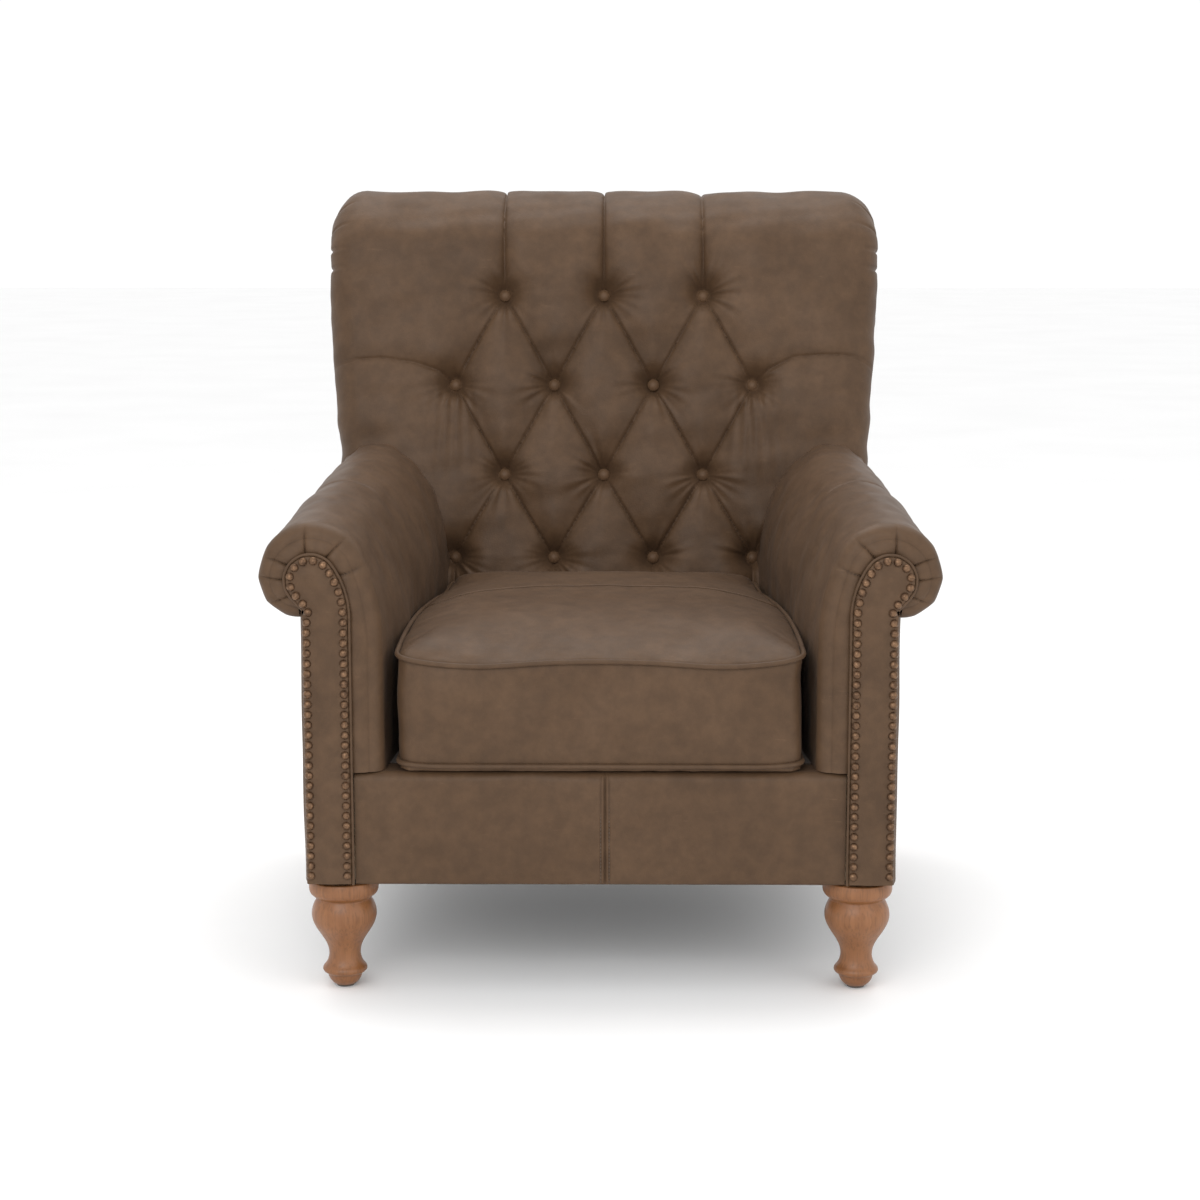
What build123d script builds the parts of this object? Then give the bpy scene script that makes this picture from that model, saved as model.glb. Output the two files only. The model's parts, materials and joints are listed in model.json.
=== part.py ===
"""Scroll-arm armchair with a deep-buttoned back, turned front legs and a loose seat cushion.

Millimetres. +Z is up, the sitter faces -Y, and the origin is on the floor under the middle of the chair.
"left" is the -X side and "right" is the +X side. Each piece is one node, written to parts/NAME.step.
"""

import os
from math import acos, atan2, cos, degrees, radians, sin, tan

from build123d import *

os.makedirs("parts", exist_ok=True)

# ---------------------------------------------------------------- driving dimensions
overall_height = 987.0  # floor to the top of the back roll
leg_height = 140.0  # floor to the underside of the seat frame
body_half = 367.0  # middle of the chair to the outside arm panels
seat_depth = 560.0  # front of the nail heads to the inside back, at seat_level
seat_level = 430.0
recline = radians(11.5)  # inside back, from the vertical
back_proud = 13.0  # each side of the back beyond the outside arm panels, above the arms
back_roll_radius = 97.0

gap = 0.3  # between pieces that rest on each other
leather = 1.5
panel = 2.7  # leather on backing board

# seat frame
rail_height = 120.0
rail_thick = 25.0
front_rail_setback = 18.0  # front face of the front posts to the middle of the front rail
back_rail_setback = 40.0  # front face of the back posts' feet to the middle of the back rail
post_width = 60.0
post_depth = 50.0
side_padding = 4.3  # posts to the outside arm panels
board_thick = 18.0
deck_clearance = 6.3  # room for the springs above the rails
deck_thick = 16.5
back_foot_depth = 154.0  # inside back at seat_level to the foot of the outside back
rear_lean = radians(6.5)  # outside back, from the vertical
dust_thick = 1.0

# front arm section, and what it becomes at the back
arm_width_front, arm_width_rear = 99.0, 145.0  # outside panel to the inner face
arm_bend_front, arm_bend_rear = 440.0, 480.0  # height where the inner face starts to curve
scroll_in_front, scroll_in_rear = 15.0, 41.0  # outside panel in to the scroll's middle
scroll_z_front, scroll_z_rear = 525.0, 571.0
scroll_radius_front, scroll_radius_rear = 67.5, 60.0
tuck_radius_front, tuck_radius_rear = 50.0, 45.0  # tighter turn under the scroll
arm_reach = 30.0  # the rear section's distance beyond seat_depth
arm_rail_thick = 22.0
arm_rail_front_z = 470.0
arm_rail_rise = 40.0  # over arm_length

# arm facing, its welt and nails
facing_thick = 11.2
facing_width = 63.0
facing_head_radius = 34.0
facing_neck_z = 480.0
welt_radius = 2.2
nail_radius = 5.3
nail_height = 4.5
nail_pitch = 12.8
nail_inset = 9.0
nail_shank_radius = 0.9
nail_shank = 9.0

# front border
border_proud = 2.0
border_lip_radius = 12.0
border_side_gap = 0.5
border_lap = 4.5  # behind the front face of the scroll boards

# back upholstery
tuft_layer = 48.0  # leather and wadding that the buttons pull in
foam_layer = 47.0
webbing_thick = 1.7
webbing_width = 34.0
side_clearance = 0.4
roll_end_angle = -66.0
top_rail_drop, top_rail_height = 187.0, 60.0  # drop: top of the back roll to the rail's top
back_low_rail_z = (300.0, 350.0)
top_rail_rear = 14.0  # top rail's rear face to the outside back's board
low_rail_thick = 25.0
back_post_width = 40.0
back_foot_post_depth = 60.0
back_shoulder_gap = 1.2  # back's wide part above the outside arm panels

# buttons
button_drops = (143.0, 271.0, 399.0, 517.0)  # rows below the top of the back roll
button_pitch = 144.0
button_depth = 30.0
button_radius = 8.5
button_height = 6.0
pocket_radius = 24.0
twine_radius = 1.0
toggle_radius = 6.0
toggle_thick = 3.0

# seat cushion
cushion_lift = 0.7  # above the deck
cushion_clear_front, cushion_clear_rear = 17.5, 9.0  # each side, to the arms
cushion_setback = 13.0  # behind the front of the nail heads
cushion_back_gap = 7.0
cushion_box = 136.0  # height of the boxing band
cushion_crown = 45.0
crown_inset = 70.0
cushion_corner = 20.0
piping_radius = 2.8
zip_inset = 23.0  # ends of the zip from the cushion's rear corners
zip_tape_height = 26.0
zip_tape_thick = 0.6
zip_chain_height = 6.0
zip_chain_thick = 1.6
zip_slider_length = 11.0
zip_slider_height = 9.0
zip_slider_thick = 2.2
zip_pull_length = 26.0
zip_pull_thick = 1.0

# legs
glide_height = 3.0
glide_radius = 11.0
glide_pin_radius = 1.5
glide_pin = 14.0
leg_inset_x = 44.0  # body side to the middle of a front leg
leg_inset_y = 52.0  # front of the nail heads to the middle of a front leg
rear_leg_top = 50.0
rear_leg_foot = 32.0
rear_leg_rake = 42.0
rear_leg_setback = 28.0  # front face of the back posts' feet to the middle of a rear leg
bolt_radius = 4.0
bolt_into_leg = 35.0
bolt_into_post = 26.0
tee_flange_radius = 11.0
tee_flange_thick = 1.5
tee_barrel_radius = 5.5
tee_barrel = 9.0
thread_clearance = 0.05

# springs and dowels
spring_count = 5
spring_pitch = 108.0
spring_wire = 1.8  # radius
spring_half_width = 21.0
spring_wave = 20.0
clip_size = (22.0, 14.0, 5.9)
dowel_radius = 5.0
dowel_length = 44.0

# ---------------------------------------------------------------- worked-out places
back_half = body_half + back_proud
base_depth = seat_depth + back_foot_depth  # front of the nail heads to the outside back's foot
arm_inner_front = body_half - arm_width_front
arm_inner_rear = body_half - arm_width_rear
scroll_x_front = body_half - scroll_in_front
scroll_x_rear = body_half - scroll_in_rear
arm_length = seat_depth + arm_reach  # front section to rear section
facing_inner = body_half - facing_width
back_top_rail_z = (
    overall_height - top_rail_drop - top_rail_height,
    overall_height - top_rail_drop,
)
button_rows = [overall_height - drop for drop in button_drops]
cushion_front_half = arm_inner_front - cushion_clear_front
cushion_rear_half = arm_inner_rear - cushion_clear_rear
zip_length = 2 * (cushion_rear_half - zip_inset)
back_roll_z = overall_height - back_roll_radius
total_depth = (
    seat_depth
    + (back_roll_z - seat_level) * tan(recline)
    + back_roll_radius / cos(recline)
    + back_roll_radius
)
front_y = -total_depth / 2
base_z = leg_height + 1.5  # underside of the rails
rail_top = base_z + rail_height
deck_bottom = rail_top + deck_clearance
deck_top = deck_bottom + deck_thick
arm_bottom = deck_top + gap

facing_front = front_y + nail_height
facing_back = facing_front + facing_thick
arm_front = facing_back + gap
board_front = arm_front + leather + gap
board_back = board_front + board_thick
post_front = board_back
post_back = post_front + post_depth
front_rail_y = post_front + front_rail_setback
post_outer = body_half - panel - side_padding
post_inner = post_outer - post_width
back_post_inner = post_outer - back_post_width
frame_rear = front_y + base_depth - panel - gap
column_lap = 10.0  # the pleated arm front's edge, behind the facing
back_post_foot = frame_rear - back_foot_post_depth
back_rail_y = back_post_foot + back_rail_setback
outer_skin = body_half - panel  # inner face of the outside arm panels


def back_y(z, inset=0.0):
    """Y of the inside back's surface at height z, or of a plane inset behind it."""
    return front_y + seat_depth + (z - seat_level) * tan(recline) + inset / cos(recline)


def rear_y(z, inset=0.0):
    """Y of the outside back at height z, or of a plane inset in front of it."""
    return front_y + base_depth + (z - base_z) * tan(rear_lean) - inset / cos(rear_lean)


back_roll_y = back_y(back_roll_z, back_roll_radius)
stack_depth = tuft_layer + foam_layer + webbing_thick + 2 * gap  # inside back to the back posts


def save(piece, name):
    """Label a finished piece and write it as one node."""
    piece.part.label = name
    export_step(piece.part, f"parts/{name}.step")


def save_mirrored(piece, name):
    """Write a right-hand piece and its left-hand twin."""
    save(piece, f"{name}_right")
    with BuildPart() as twin:
        add(piece.part)
        mirror(about=Plane.YZ, mode=Mode.REPLACE)
    save(twin, f"{name}_left")


def box_between(low, high, mode=Mode.ADD):
    """A box from its lowest to its highest corner, in the current part."""
    centre = tuple((a + b) / 2 for a, b in zip(low, high))
    with Locations(centre):
        Box(*[b - a for a, b in zip(low, high)], mode=mode)


def dome_radius(half_width, height):
    """Radius of the sphere whose cap has this half width and height."""
    return (half_width**2 + height**2) / (2 * height)


# ---------------------------------------------------------------- arm section
def arm_station(y):
    """The arm's section at depth y: linear from the front section to the rear one."""
    t = (y - arm_front) / arm_length

    def between(a, b):
        return a + (b - a) * t

    inner = between(arm_inner_front, arm_inner_rear)
    bend = between(arm_bend_front, arm_bend_rear)
    cx = between(scroll_x_front, scroll_x_rear)
    cz = between(scroll_z_front, scroll_z_rear)
    radius = between(scroll_radius_front, scroll_radius_rear)
    tuck = between(tuck_radius_front, tuck_radius_rear)
    # radius of the inner face's bend, tangent to the inner face and to the scroll
    reach, rise = cx - inner, cz - bend
    bend_radius = (reach**2 + rise**2 - radius**2) / (2 * (reach - radius))
    tangent = degrees(atan2(rise, reach - bend_radius))
    tuck_x = cx + radius - tuck
    end = degrees(acos((body_half + gap - tuck_x) / tuck))
    return inner, bend, cx, cz, radius, tuck, bend_radius, tangent, tuck_x, end


def arm_wrap(y, inset):
    """The leather's path over the arm at depth y, inset into it. Returns its two ends."""
    inner, bend, cx, cz, radius, tuck, bend_radius, tangent, tuck_x, end = arm_station(y)
    Line((inner + inset, arm_bottom), (inner + inset, bend))
    CenterArc((inner + bend_radius, bend), bend_radius - inset, 180, tangent - 180)
    CenterArc((cx, cz), radius - inset, tangent, -tangent)
    CenterArc((tuck_x, cz), tuck - inset, 0, -end)
    reach = tuck - inset
    last = (tuck_x + reach * cos(radians(end)), cz - reach * sin(radians(end)))
    return (inner + inset, arm_bottom), last


def arm_rail_z(y):
    """Underside of the arm rail at depth y."""
    return arm_rail_front_z + arm_rail_rise * (y - arm_front) / arm_length


def at_depth(y):
    """The XZ plane at depth y: local x is X and local y is Z."""
    return Plane.XZ.offset(-y)


def shell_section(y, inset, drop=0.0):
    """The arm's whole section at depth y, inset, closed along the facing's column.

    A drop carries the closing sides that far beyond it, for a shape that cuts the inside away.
    """
    column = facing_inner + column_lap + drop
    with BuildSketch(at_depth(y)) as section:
        with BuildLine():
            start, last = arm_wrap(y, inset)
            Polyline(
                last,
                (last[0], last[1] - drop - 0.01),
                (column, last[1] - drop - 0.01),
                (column, arm_bottom - drop),
                (start[0], arm_bottom - drop - 0.01),
                start,
            )
        make_face()
    return section


def pad_section(y):
    """Closed section of the arm padding at depth y, round the post and the arm rail."""
    with BuildSketch(at_depth(y)) as section:
        with BuildLine():
            start, last = arm_wrap(y, leather + gap)
            notch = arm_rail_z(y) + arm_rail_thick + gap
            Polyline(
                last,
                (post_outer + gap, last[1]),
                (post_outer + gap, notch),
                (post_inner - gap, notch),
                (post_inner - gap, arm_bottom),
                start,
            )
        make_face()
    return section


def board_section(y):
    """Closed section of the scroll board at depth y, with its column down to the rails."""
    with BuildSketch(at_depth(y)) as section:
        with BuildLine():
            start, last = arm_wrap(y, leather + gap)
            Polyline(
                last,
                (post_outer, last[1]),
                (post_outer, base_z),
                (facing_inner + border_side_gap, base_z),
                (facing_inner + border_side_gap, arm_bottom),
                start,
            )
        make_face()
    return section


arm_rear = arm_front + arm_length
_, _, _, rear_cz, _, rear_tuck, _, _, _, rear_end = arm_station(arm_rear)
front_end = arm_station(arm_front)[-1]
panel_top_front = scroll_z_front - tuck_radius_front * sin(radians(front_end)) - gap
panel_top_rear = rear_cz - rear_tuck * sin(radians(rear_end)) - gap
shoulder_z = panel_top_rear + back_shoulder_gap


def trim_at_back(clear=gap):
    """Cut away all of the current part that lies behind the inside back's surface."""
    with BuildSketch(Plane.YZ) as behind:
        with BuildLine():
            Polyline(
                (back_y(0) - clear, 0),
                (back_y(overall_height) - clear, overall_height),
                (total_depth, overall_height),
                (total_depth, 0),
                close=True,
            )
        make_face()
    extrude(behind.sketch, amount=overall_height, both=True, mode=Mode.SUBTRACT)


def facing_outline(inset):
    """The facing's keyhole shape, inset from its edge. Adds the welted edge and returns its two ends."""
    head = facing_head_radius - inset
    inner = facing_inner + inset
    outer = body_half - inset
    foot = base_z - 0.5 + inset
    # the inner edge bends over to meet the head at a tangent
    reach, rise = scroll_x_front - facing_inner, scroll_z_front - facing_neck_z
    bend = (reach**2 + rise**2 - facing_head_radius**2) / (2 * (reach - facing_head_radius))
    turn = degrees(atan2(rise, reach - bend))
    Line((inner, foot), (inner, facing_neck_z))
    CenterArc((facing_inner + bend, facing_neck_z), bend - inset, 180, turn - 180)
    head_end = -38.0
    CenterArc((scroll_x_front, scroll_z_front), head, turn, head_end - turn)
    under = (
        scroll_x_front + head * cos(radians(head_end)),
        scroll_z_front + head * sin(radians(head_end)),
    )
    throat = (outer - 3.0, panel_top_front + 14.0)
    Line(under, throat)
    return (inner, foot), throat, outer


# ---------------------------------------------------------------- hardwood frame
def dowel_places():
    """(position, axis) of the dowels that join the rails to the posts: two at each joint."""
    places = []
    for z in (base_z + 0.28 * rail_height, base_z + 0.72 * rail_height):
        for side in (-1, 1):
            places.append(((side * post_inner, front_rail_y, z), "X"))
            places.append(((side * back_post_inner, back_rail_y, z), "X"))
            places.append(((side * (post_outer - rail_thick / 2), post_back, z), "Y"))
            places.append(((side * (post_outer - rail_thick / 2), back_post_foot, z), "Y"))
    return places


def dowel_bars(radius, mode=Mode.ADD):
    """Cylinders at every dowel place, in the current part."""
    for centre, axis in dowel_places():
        turn = (0, 90, 0) if axis == "X" else (90, 0, 0)
        with Locations(Location(centre, turn)):
            Cylinder(radius, dowel_length, mode=mode)


def drill_dowels():
    """Cut every dowel hole that meets the current part."""
    dowel_bars(dowel_radius + thread_clearance, Mode.SUBTRACT)


rail_back_y = back_rail_y + rail_thick / 2  # rear face of the back rail

with BuildPart() as front_rail:
    box_between(
        (-post_inner, front_rail_y - rail_thick / 2, base_z),
        (post_inner, front_rail_y + rail_thick / 2, rail_top),
    )
    drill_dowels()
save(front_rail, "front_rail")

with BuildPart() as back_rail:
    box_between(
        (-back_post_inner, rail_back_y - rail_thick, base_z),
        (back_post_inner, rail_back_y, rail_top),
    )
    drill_dowels()
save(back_rail, "back_rail")

with BuildPart() as side_rail:
    box_between(
        (post_outer - rail_thick, post_back, base_z), (post_outer, back_post_foot, rail_top)
    )
    drill_dowels()
save_mirrored(side_rail, "side_rail")

front_leg_x = body_half - leg_inset_x
front_leg_y = front_y + leg_inset_y
rear_leg_x = post_outer - back_post_width / 2
rear_leg_y = back_post_foot + rear_leg_setback


def tee_nut_seat():
    """The recess, barrel hole and bolt hole for a tee nut in the foot of a post."""
    Cylinder(
        tee_flange_radius + gap,
        tee_flange_thick + thread_clearance,
        align=(Align.CENTER, Align.CENTER, Align.MIN),
        mode=Mode.SUBTRACT,
    )
    Cylinder(
        tee_barrel_radius + thread_clearance,
        tee_flange_thick + tee_barrel + gap,
        align=(Align.CENTER, Align.CENTER, Align.MIN),
        mode=Mode.SUBTRACT,
    )
    Cylinder(
        bolt_radius + gap,
        bolt_into_post + 2.0,
        align=(Align.CENTER, Align.CENTER, Align.MIN),
        mode=Mode.SUBTRACT,
    )


with BuildPart() as front_post:
    box_between(
        (post_inner, post_front, base_z), (post_outer, post_back, arm_rail_front_z)
    )
    # the top slopes with the arm rail
    with BuildSketch(Plane.YZ) as above:
        with BuildLine():
            Polyline(
                (post_front - 1, arm_rail_z(post_front - 1)),
                (post_back + 1, arm_rail_z(post_back + 1)),
                (post_back + 1, arm_rail_front_z + 50),
                (post_front - 1, arm_rail_front_z + 50),
                close=True,
            )
        make_face()
    extrude(amount=body_half, mode=Mode.SUBTRACT)
    with Locations((front_leg_x, front_leg_y, base_z)):
        tee_nut_seat()
    drill_dowels()
save_mirrored(front_post, "front_post")

with BuildPart() as back_post:
    with BuildSketch(Plane.YZ.offset(back_post_inner)) as profile:
        with BuildLine():
            Polyline(
                (back_post_foot, base_z),
                (rear_y(base_z, panel + gap), base_z),
                (rear_y(back_top_rail_z[1], panel + gap), back_top_rail_z[1]),
                (back_y(back_top_rail_z[1], stack_depth), back_top_rail_z[1]),
                (back_y(back_low_rail_z[0], stack_depth), back_low_rail_z[0]),
                (back_post_foot, rail_top),
                close=True,
            )
        make_face()
    extrude(amount=back_post_width)
    with Locations((rear_leg_x, rear_leg_y, base_z)):
        tee_nut_seat()
    drill_dowels()
save_mirrored(back_post, "back_post")


def back_rail_between(z_span, low_y, high_y):
    """A back rail between the posts, from the plane of the webbing to two rear edges."""
    low, high = z_span
    with BuildPart() as rail:
        with BuildSketch(Plane.YZ) as profile:
            with BuildLine():
                Polyline(
                    (back_y(low, stack_depth), low),
                    (low_y, low),
                    (high_y, high),
                    (back_y(high, stack_depth), high),
                    close=True,
                )
            make_face()
        extrude(amount=back_post_inner, both=True)
    return rail


top_rail_edges = [rear_y(z, panel + top_rail_rear) for z in back_top_rail_z]
low_rail_edges = [back_y(z, stack_depth + low_rail_thick) for z in back_low_rail_z]
save(back_rail_between(back_top_rail_z, *top_rail_edges), "back_top_rail")
save(back_rail_between(back_low_rail_z, *low_rail_edges), "back_lower_rail")


def arm_rail_bar(grow=0.0):
    """The sloping arm rail's side, front board to beyond the back post, grown by a clearance."""
    rear = back_y(arm_rail_z(arm_rear), stack_depth) + 60
    with BuildSketch(Plane.YZ.offset(post_inner - grow)) as profile:
        with BuildLine():
            Polyline(
                (post_front, arm_rail_z(post_front) - grow),
                (rear, arm_rail_z(rear) - grow),
                (rear, arm_rail_z(rear) + arm_rail_thick + grow),
                (post_front, arm_rail_z(post_front) + arm_rail_thick + grow),
                close=True,
            )
        make_face()
    return profile


def clear_arm_rails():
    """Cut the slots that the arm rails pass through on their way to the back posts."""
    for side in (-1, 1):
        with BuildPart(mode=Mode.PRIVATE) as slot:
            extrude(arm_rail_bar(gap).sketch, amount=post_width + 2 * gap)
            if side < 0:
                mirror(about=Plane.YZ, mode=Mode.REPLACE)
        add(slot.part, mode=Mode.SUBTRACT)


with BuildPart() as arm_rail:
    extrude(arm_rail_bar().sketch, amount=post_width)
    # stop at the face of the back post
    with BuildSketch(Plane.YZ) as behind_post:
        with BuildLine():
            Polyline(
                (back_y(0, stack_depth), 0),
                (back_y(overall_height, stack_depth), overall_height),
                (total_depth, overall_height),
                (total_depth, 0),
                close=True,
            )
        make_face()
    extrude(amount=overall_height, mode=Mode.SUBTRACT)
save_mirrored(arm_rail, "arm_rail")

with BuildPart() as scroll_board:
    add(board_section(board_front).sketch)
    add(board_section(board_back - 0.01).sketch)
    loft(ruled=True)
save_mirrored(scroll_board, "scroll_board")

block_leg = 62.0
with BuildPart() as corner_blocks:
    front_face = front_rail_y + rail_thick / 2
    rear_face = rail_back_y - rail_thick
    for side in (-1, 1):
        for y, inward, x in (
            (front_face, 1, side * post_inner),
            (rear_face, -1, side * back_post_inner),
        ):
            with BuildSketch(Plane.XY.offset(base_z + 50.0)) as corner:
                with BuildLine():
                    Polyline(
                        (x, y), (x - side * block_leg, y), (x, y + inward * block_leg), close=True
                    )
                make_face()
            extrude(amount=rail_height - 60.0)
save(corner_blocks, "corner_blocks")

with BuildPart() as frame_dowels:
    dowel_bars(dowel_radius)
save(frame_dowels, "frame_dowels")

# ---------------------------------------------------------------- springing and webbing
spring_z = rail_top + clip_size[2] / 2
spring_front = front_rail_y
spring_back = rail_back_y - rail_thick / 2
wave_count = int((spring_back - spring_front) / (2 * spring_wave))
wave = (spring_back - spring_front) / (2 * wave_count)


def spring_points():
    """Corners of one zigzag spring about x = 0, front rail to back rail."""
    points = [(-spring_half_width, spring_front)]
    side = 1
    for step in range(2 * wave_count):
        y = spring_front + step * wave
        points += [(side * spring_half_width, y), (side * spring_half_width, y + wave)]
        side = -side
    points.append((side * spring_half_width, spring_back))
    return points


with BuildPart() as seat_springs:
    with BuildLine(Plane.XY.offset(spring_z)) as path:
        FilletPolyline(*spring_points(), radius=0.48 * wave)
    with BuildSketch(Plane(path.line @ 0, z_dir=path.line % 0)) as wire:
        Circle(spring_wire)
    sweep()
    one_spring = seat_springs.part
with BuildPart() as spring_set:
    with GridLocations(spring_pitch, 1, spring_count, 1):
        add(one_spring)
save(spring_set, "seat_springs")

with BuildPart() as spring_clips:
    for y in (spring_front, spring_back):
        with Locations((0, y, rail_top + clip_size[2] / 2)):
            with GridLocations(spring_pitch, 1, spring_count, 1):
                Box(*clip_size)
                Cylinder(
                    spring_wire + 0.1, clip_size[0] + 1, rotation=(0, 90, 0), mode=Mode.SUBTRACT
                )
save(spring_clips, "spring_clips")

with BuildPart() as back_webbing:
    strap_z = (back_low_rail_z[0] + 6.0, back_top_rail_z[1] - 6.0)
    near, far = tuft_layer + foam_layer + gap, tuft_layer + foam_layer + gap + webbing_thick
    strap_pitch = button_pitch / 2
    half_count = int((post_inner - webbing_width / 2 - 5.0) / strap_pitch + 0.5)
    for column in range(-half_count, half_count):
        middle = (column + 0.5) * strap_pitch
        with BuildSketch(Plane.YZ.offset(middle)) as strap:
            with BuildLine():
                Polyline(
                    (back_y(strap_z[0], near), strap_z[0]),
                    (back_y(strap_z[0], far), strap_z[0]),
                    (back_y(strap_z[1], far), strap_z[1]),
                    (back_y(strap_z[1], near), strap_z[1]),
                    close=True,
                )
            make_face()
        extrude(amount=webbing_width / 2, both=True)
save(back_webbing, "back_webbing")

deck_front = front_rail_y + rail_thick / 2 + 1.0
with BuildPart() as seat_deck:
    box_between(
        (-post_inner + gap, deck_front, deck_bottom), (post_inner - gap, total_depth / 2, deck_top)
    )
    # round the front posts
    box_between((post_inner - 1, front_y, 0), (post_inner + 1, 0, overall_height), Mode.SUBTRACT)
    trim_at_back()
save(seat_deck, "seat_deck")

# ---------------------------------------------------------------- arms
with BuildPart() as arm_pad:
    add(pad_section(arm_front).sketch)
    add(pad_section(arm_rear + 10).sketch)
    loft(ruled=True)
    box_between((0, front_y, 0), (body_half * 2, board_back + gap, overall_height), Mode.SUBTRACT)
    trim_at_back()
save_mirrored(arm_pad, "arm_pad")

with BuildPart() as inside_arm:
    add(shell_section(arm_front, leather, drop=5.0).sketch)
    add(shell_section(arm_rear + 10, leather, drop=5.0).sketch)
    loft(ruled=True)
    # stop behind the pleated front, which the facing half covers
    box_between(
        (0, front_y, 0), (2 * body_half, arm_front + leather, overall_height), Mode.SUBTRACT
    )

with BuildPart() as arm_cover:
    add(shell_section(arm_front, 0).sketch)
    add(shell_section(arm_rear + 10, 0).sketch)
    loft(ruled=True)
    add(inside_arm.part, mode=Mode.SUBTRACT)
    trim_at_back()
save_mirrored(arm_cover, "arm_cover")

with BuildPart() as outside_arm:
    with BuildSketch(Plane.YZ.offset(outer_skin)) as side:
        with BuildLine():
            Polyline(
                (arm_front, base_z),
                (arm_front, panel_top_front),
                (arm_rear, panel_top_rear),
                (rear_y(panel_top_rear, panel + gap), panel_top_rear),
                (rear_y(base_z, panel + gap), base_z),
                close=True,
            )
        make_face()
    extrude(amount=panel)
save_mirrored(outside_arm, "outside_arm")

with BuildPart() as arm_facing:
    with BuildSketch(at_depth(facing_back)) as shape:
        with BuildLine():
            start, throat, outer = facing_outline(2 * welt_radius)
            Polyline(throat, (outer, panel_top_front), (outer, start[1]), start)
        make_face()
    extrude(amount=facing_thick)
    fillet(arm_facing.faces().sort_by(Axis.Y)[0].edges(), radius=2.0)
save_mirrored(arm_facing, "arm_facing")

welt_y = facing_front + welt_radius + 1.0
with BuildPart() as facing_welt:
    with BuildLine(at_depth(welt_y)) as edge:
        facing_outline(welt_radius - gap)
    with BuildSketch(Plane(edge.wires()[0] @ 0, z_dir=edge.wires()[0] % 0)) as cord:
        Circle(welt_radius - gap)
    sweep(path=edge.wires()[0])
save_mirrored(facing_welt, "facing_welt")


def nail_places():
    """(x, z) of the nails along the facing's edge, evenly spaced from foot to foot."""
    with BuildLine(Plane.XY) as run:
        start, throat, outer = facing_outline(nail_inset)
        neck = (outer, panel_top_front - 6.0)
        Polyline(throat, neck, (outer, start[1]))
    path = run.wires()[0]
    if path.position_at(0).Y > path.position_at(0.5).Y:
        path = Wire(path.edges())
    count = int(path.length / nail_pitch)
    first = 0.4 * nail_pitch / path.length
    return [path.position_at(first + (1 - 2 * first) * i / count) for i in range(count + 1)]


with BuildPart() as nail:
    with BuildSketch(Plane.XZ) as half_dome:
        with BuildLine():
            RadiusArc((nail_radius, 0), (0, nail_height), -dome_radius(nail_radius, nail_height))
            Polyline(
                (nail_radius, 0),
                (nail_shank_radius, 0),
                (nail_shank_radius, -nail_shank + 1.5),
                (0, -nail_shank),
                (0, nail_height),
            )
        make_face()
    revolve(axis=Axis.Z)

with BuildPart() as facing_nails:
    for spot in nail_places():
        with Locations(Location((spot.X, facing_front - 0.05, spot.Y), (90, 0, 0))):
            add(nail.part)
save_mirrored(facing_nails, "facing_nails")

# ---------------------------------------------------------------- front border
border_front = arm_front - border_proud
with BuildPart() as front_border:
    with BuildSketch(Plane.YZ) as profile:
        with BuildLine():
            Polyline(
                (border_front, base_z - 0.5),
                (board_front + border_lap, base_z - 0.5),
                (board_front + border_lap, deck_bottom),
                (deck_front - gap, deck_bottom),
                (deck_front - gap, deck_top - gap),
                (border_front, deck_top - gap),
                close=True,
            )
        make_face()
        lip = profile.vertices().group_by(Axis.Y)[-1].sort_by(Axis.X)[0]
        fillet(lip, radius=border_lip_radius)
    extrude(amount=facing_inner - border_side_gap - leather, both=True)
    # clear of the scroll boards above the rails
    box_between(
        (-body_half, board_front - 1, rail_top + 1),
        (-post_inner + gap, total_depth / 2, overall_height),
        Mode.SUBTRACT,
    )
    box_between(
        (post_inner - gap, board_front - 1, rail_top + 1),
        (body_half, total_depth / 2, overall_height),
        Mode.SUBTRACT,
    )
save(front_border, "front_border")

# ---------------------------------------------------------------- back
roll_end = radians(roll_end_angle)
roll_tail_z = back_roll_z + back_roll_radius * sin(roll_end)


def back_outline(inset, foot_z, rear_inset):
    """Section of the back through its roll, inset from the surface, closed at the outside back."""
    radius = back_roll_radius - inset
    front_turn = 180.0 - degrees(recline)
    with BuildSketch(Plane.YZ) as section:
        with BuildLine():
            Line(
                (back_y(foot_z, inset), foot_z),
                (back_roll_y - radius * cos(recline), back_roll_z + radius * sin(recline)),
            )
            CenterArc((back_roll_y, back_roll_z), radius, front_turn, roll_end_angle - front_turn)
            Polyline(
                (back_roll_y + radius * cos(roll_end), back_roll_z + radius * sin(roll_end)),
                (rear_y(roll_tail_z, rear_inset), roll_tail_z),
                (rear_y(foot_z, rear_inset), foot_z),
                (back_y(foot_z, inset), foot_z),
            )
        make_face()
    return section


def surface_spot(z, depth):
    """(y, z) of a point depth below the inside back's surface, square to it, from height z."""
    return back_y(z) + depth * cos(recline), z - depth * sin(recline)


def button_places():
    """(x, z) of the buttons on the inside back: three, four, three, four."""
    places = []
    for row, z in enumerate(button_rows):
        count = 3 if row % 2 == 0 else 4
        places += [((i - (count - 1) / 2) * button_pitch, z) for i in range(count)]
    return places


def facing_out(x, z, depth):
    """A location depth below the inside back's surface, its z axis pointing out of the back."""
    y, height = surface_spot(z, depth)
    return Location((x, y, height), (90 - degrees(recline), 0, 0))


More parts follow.
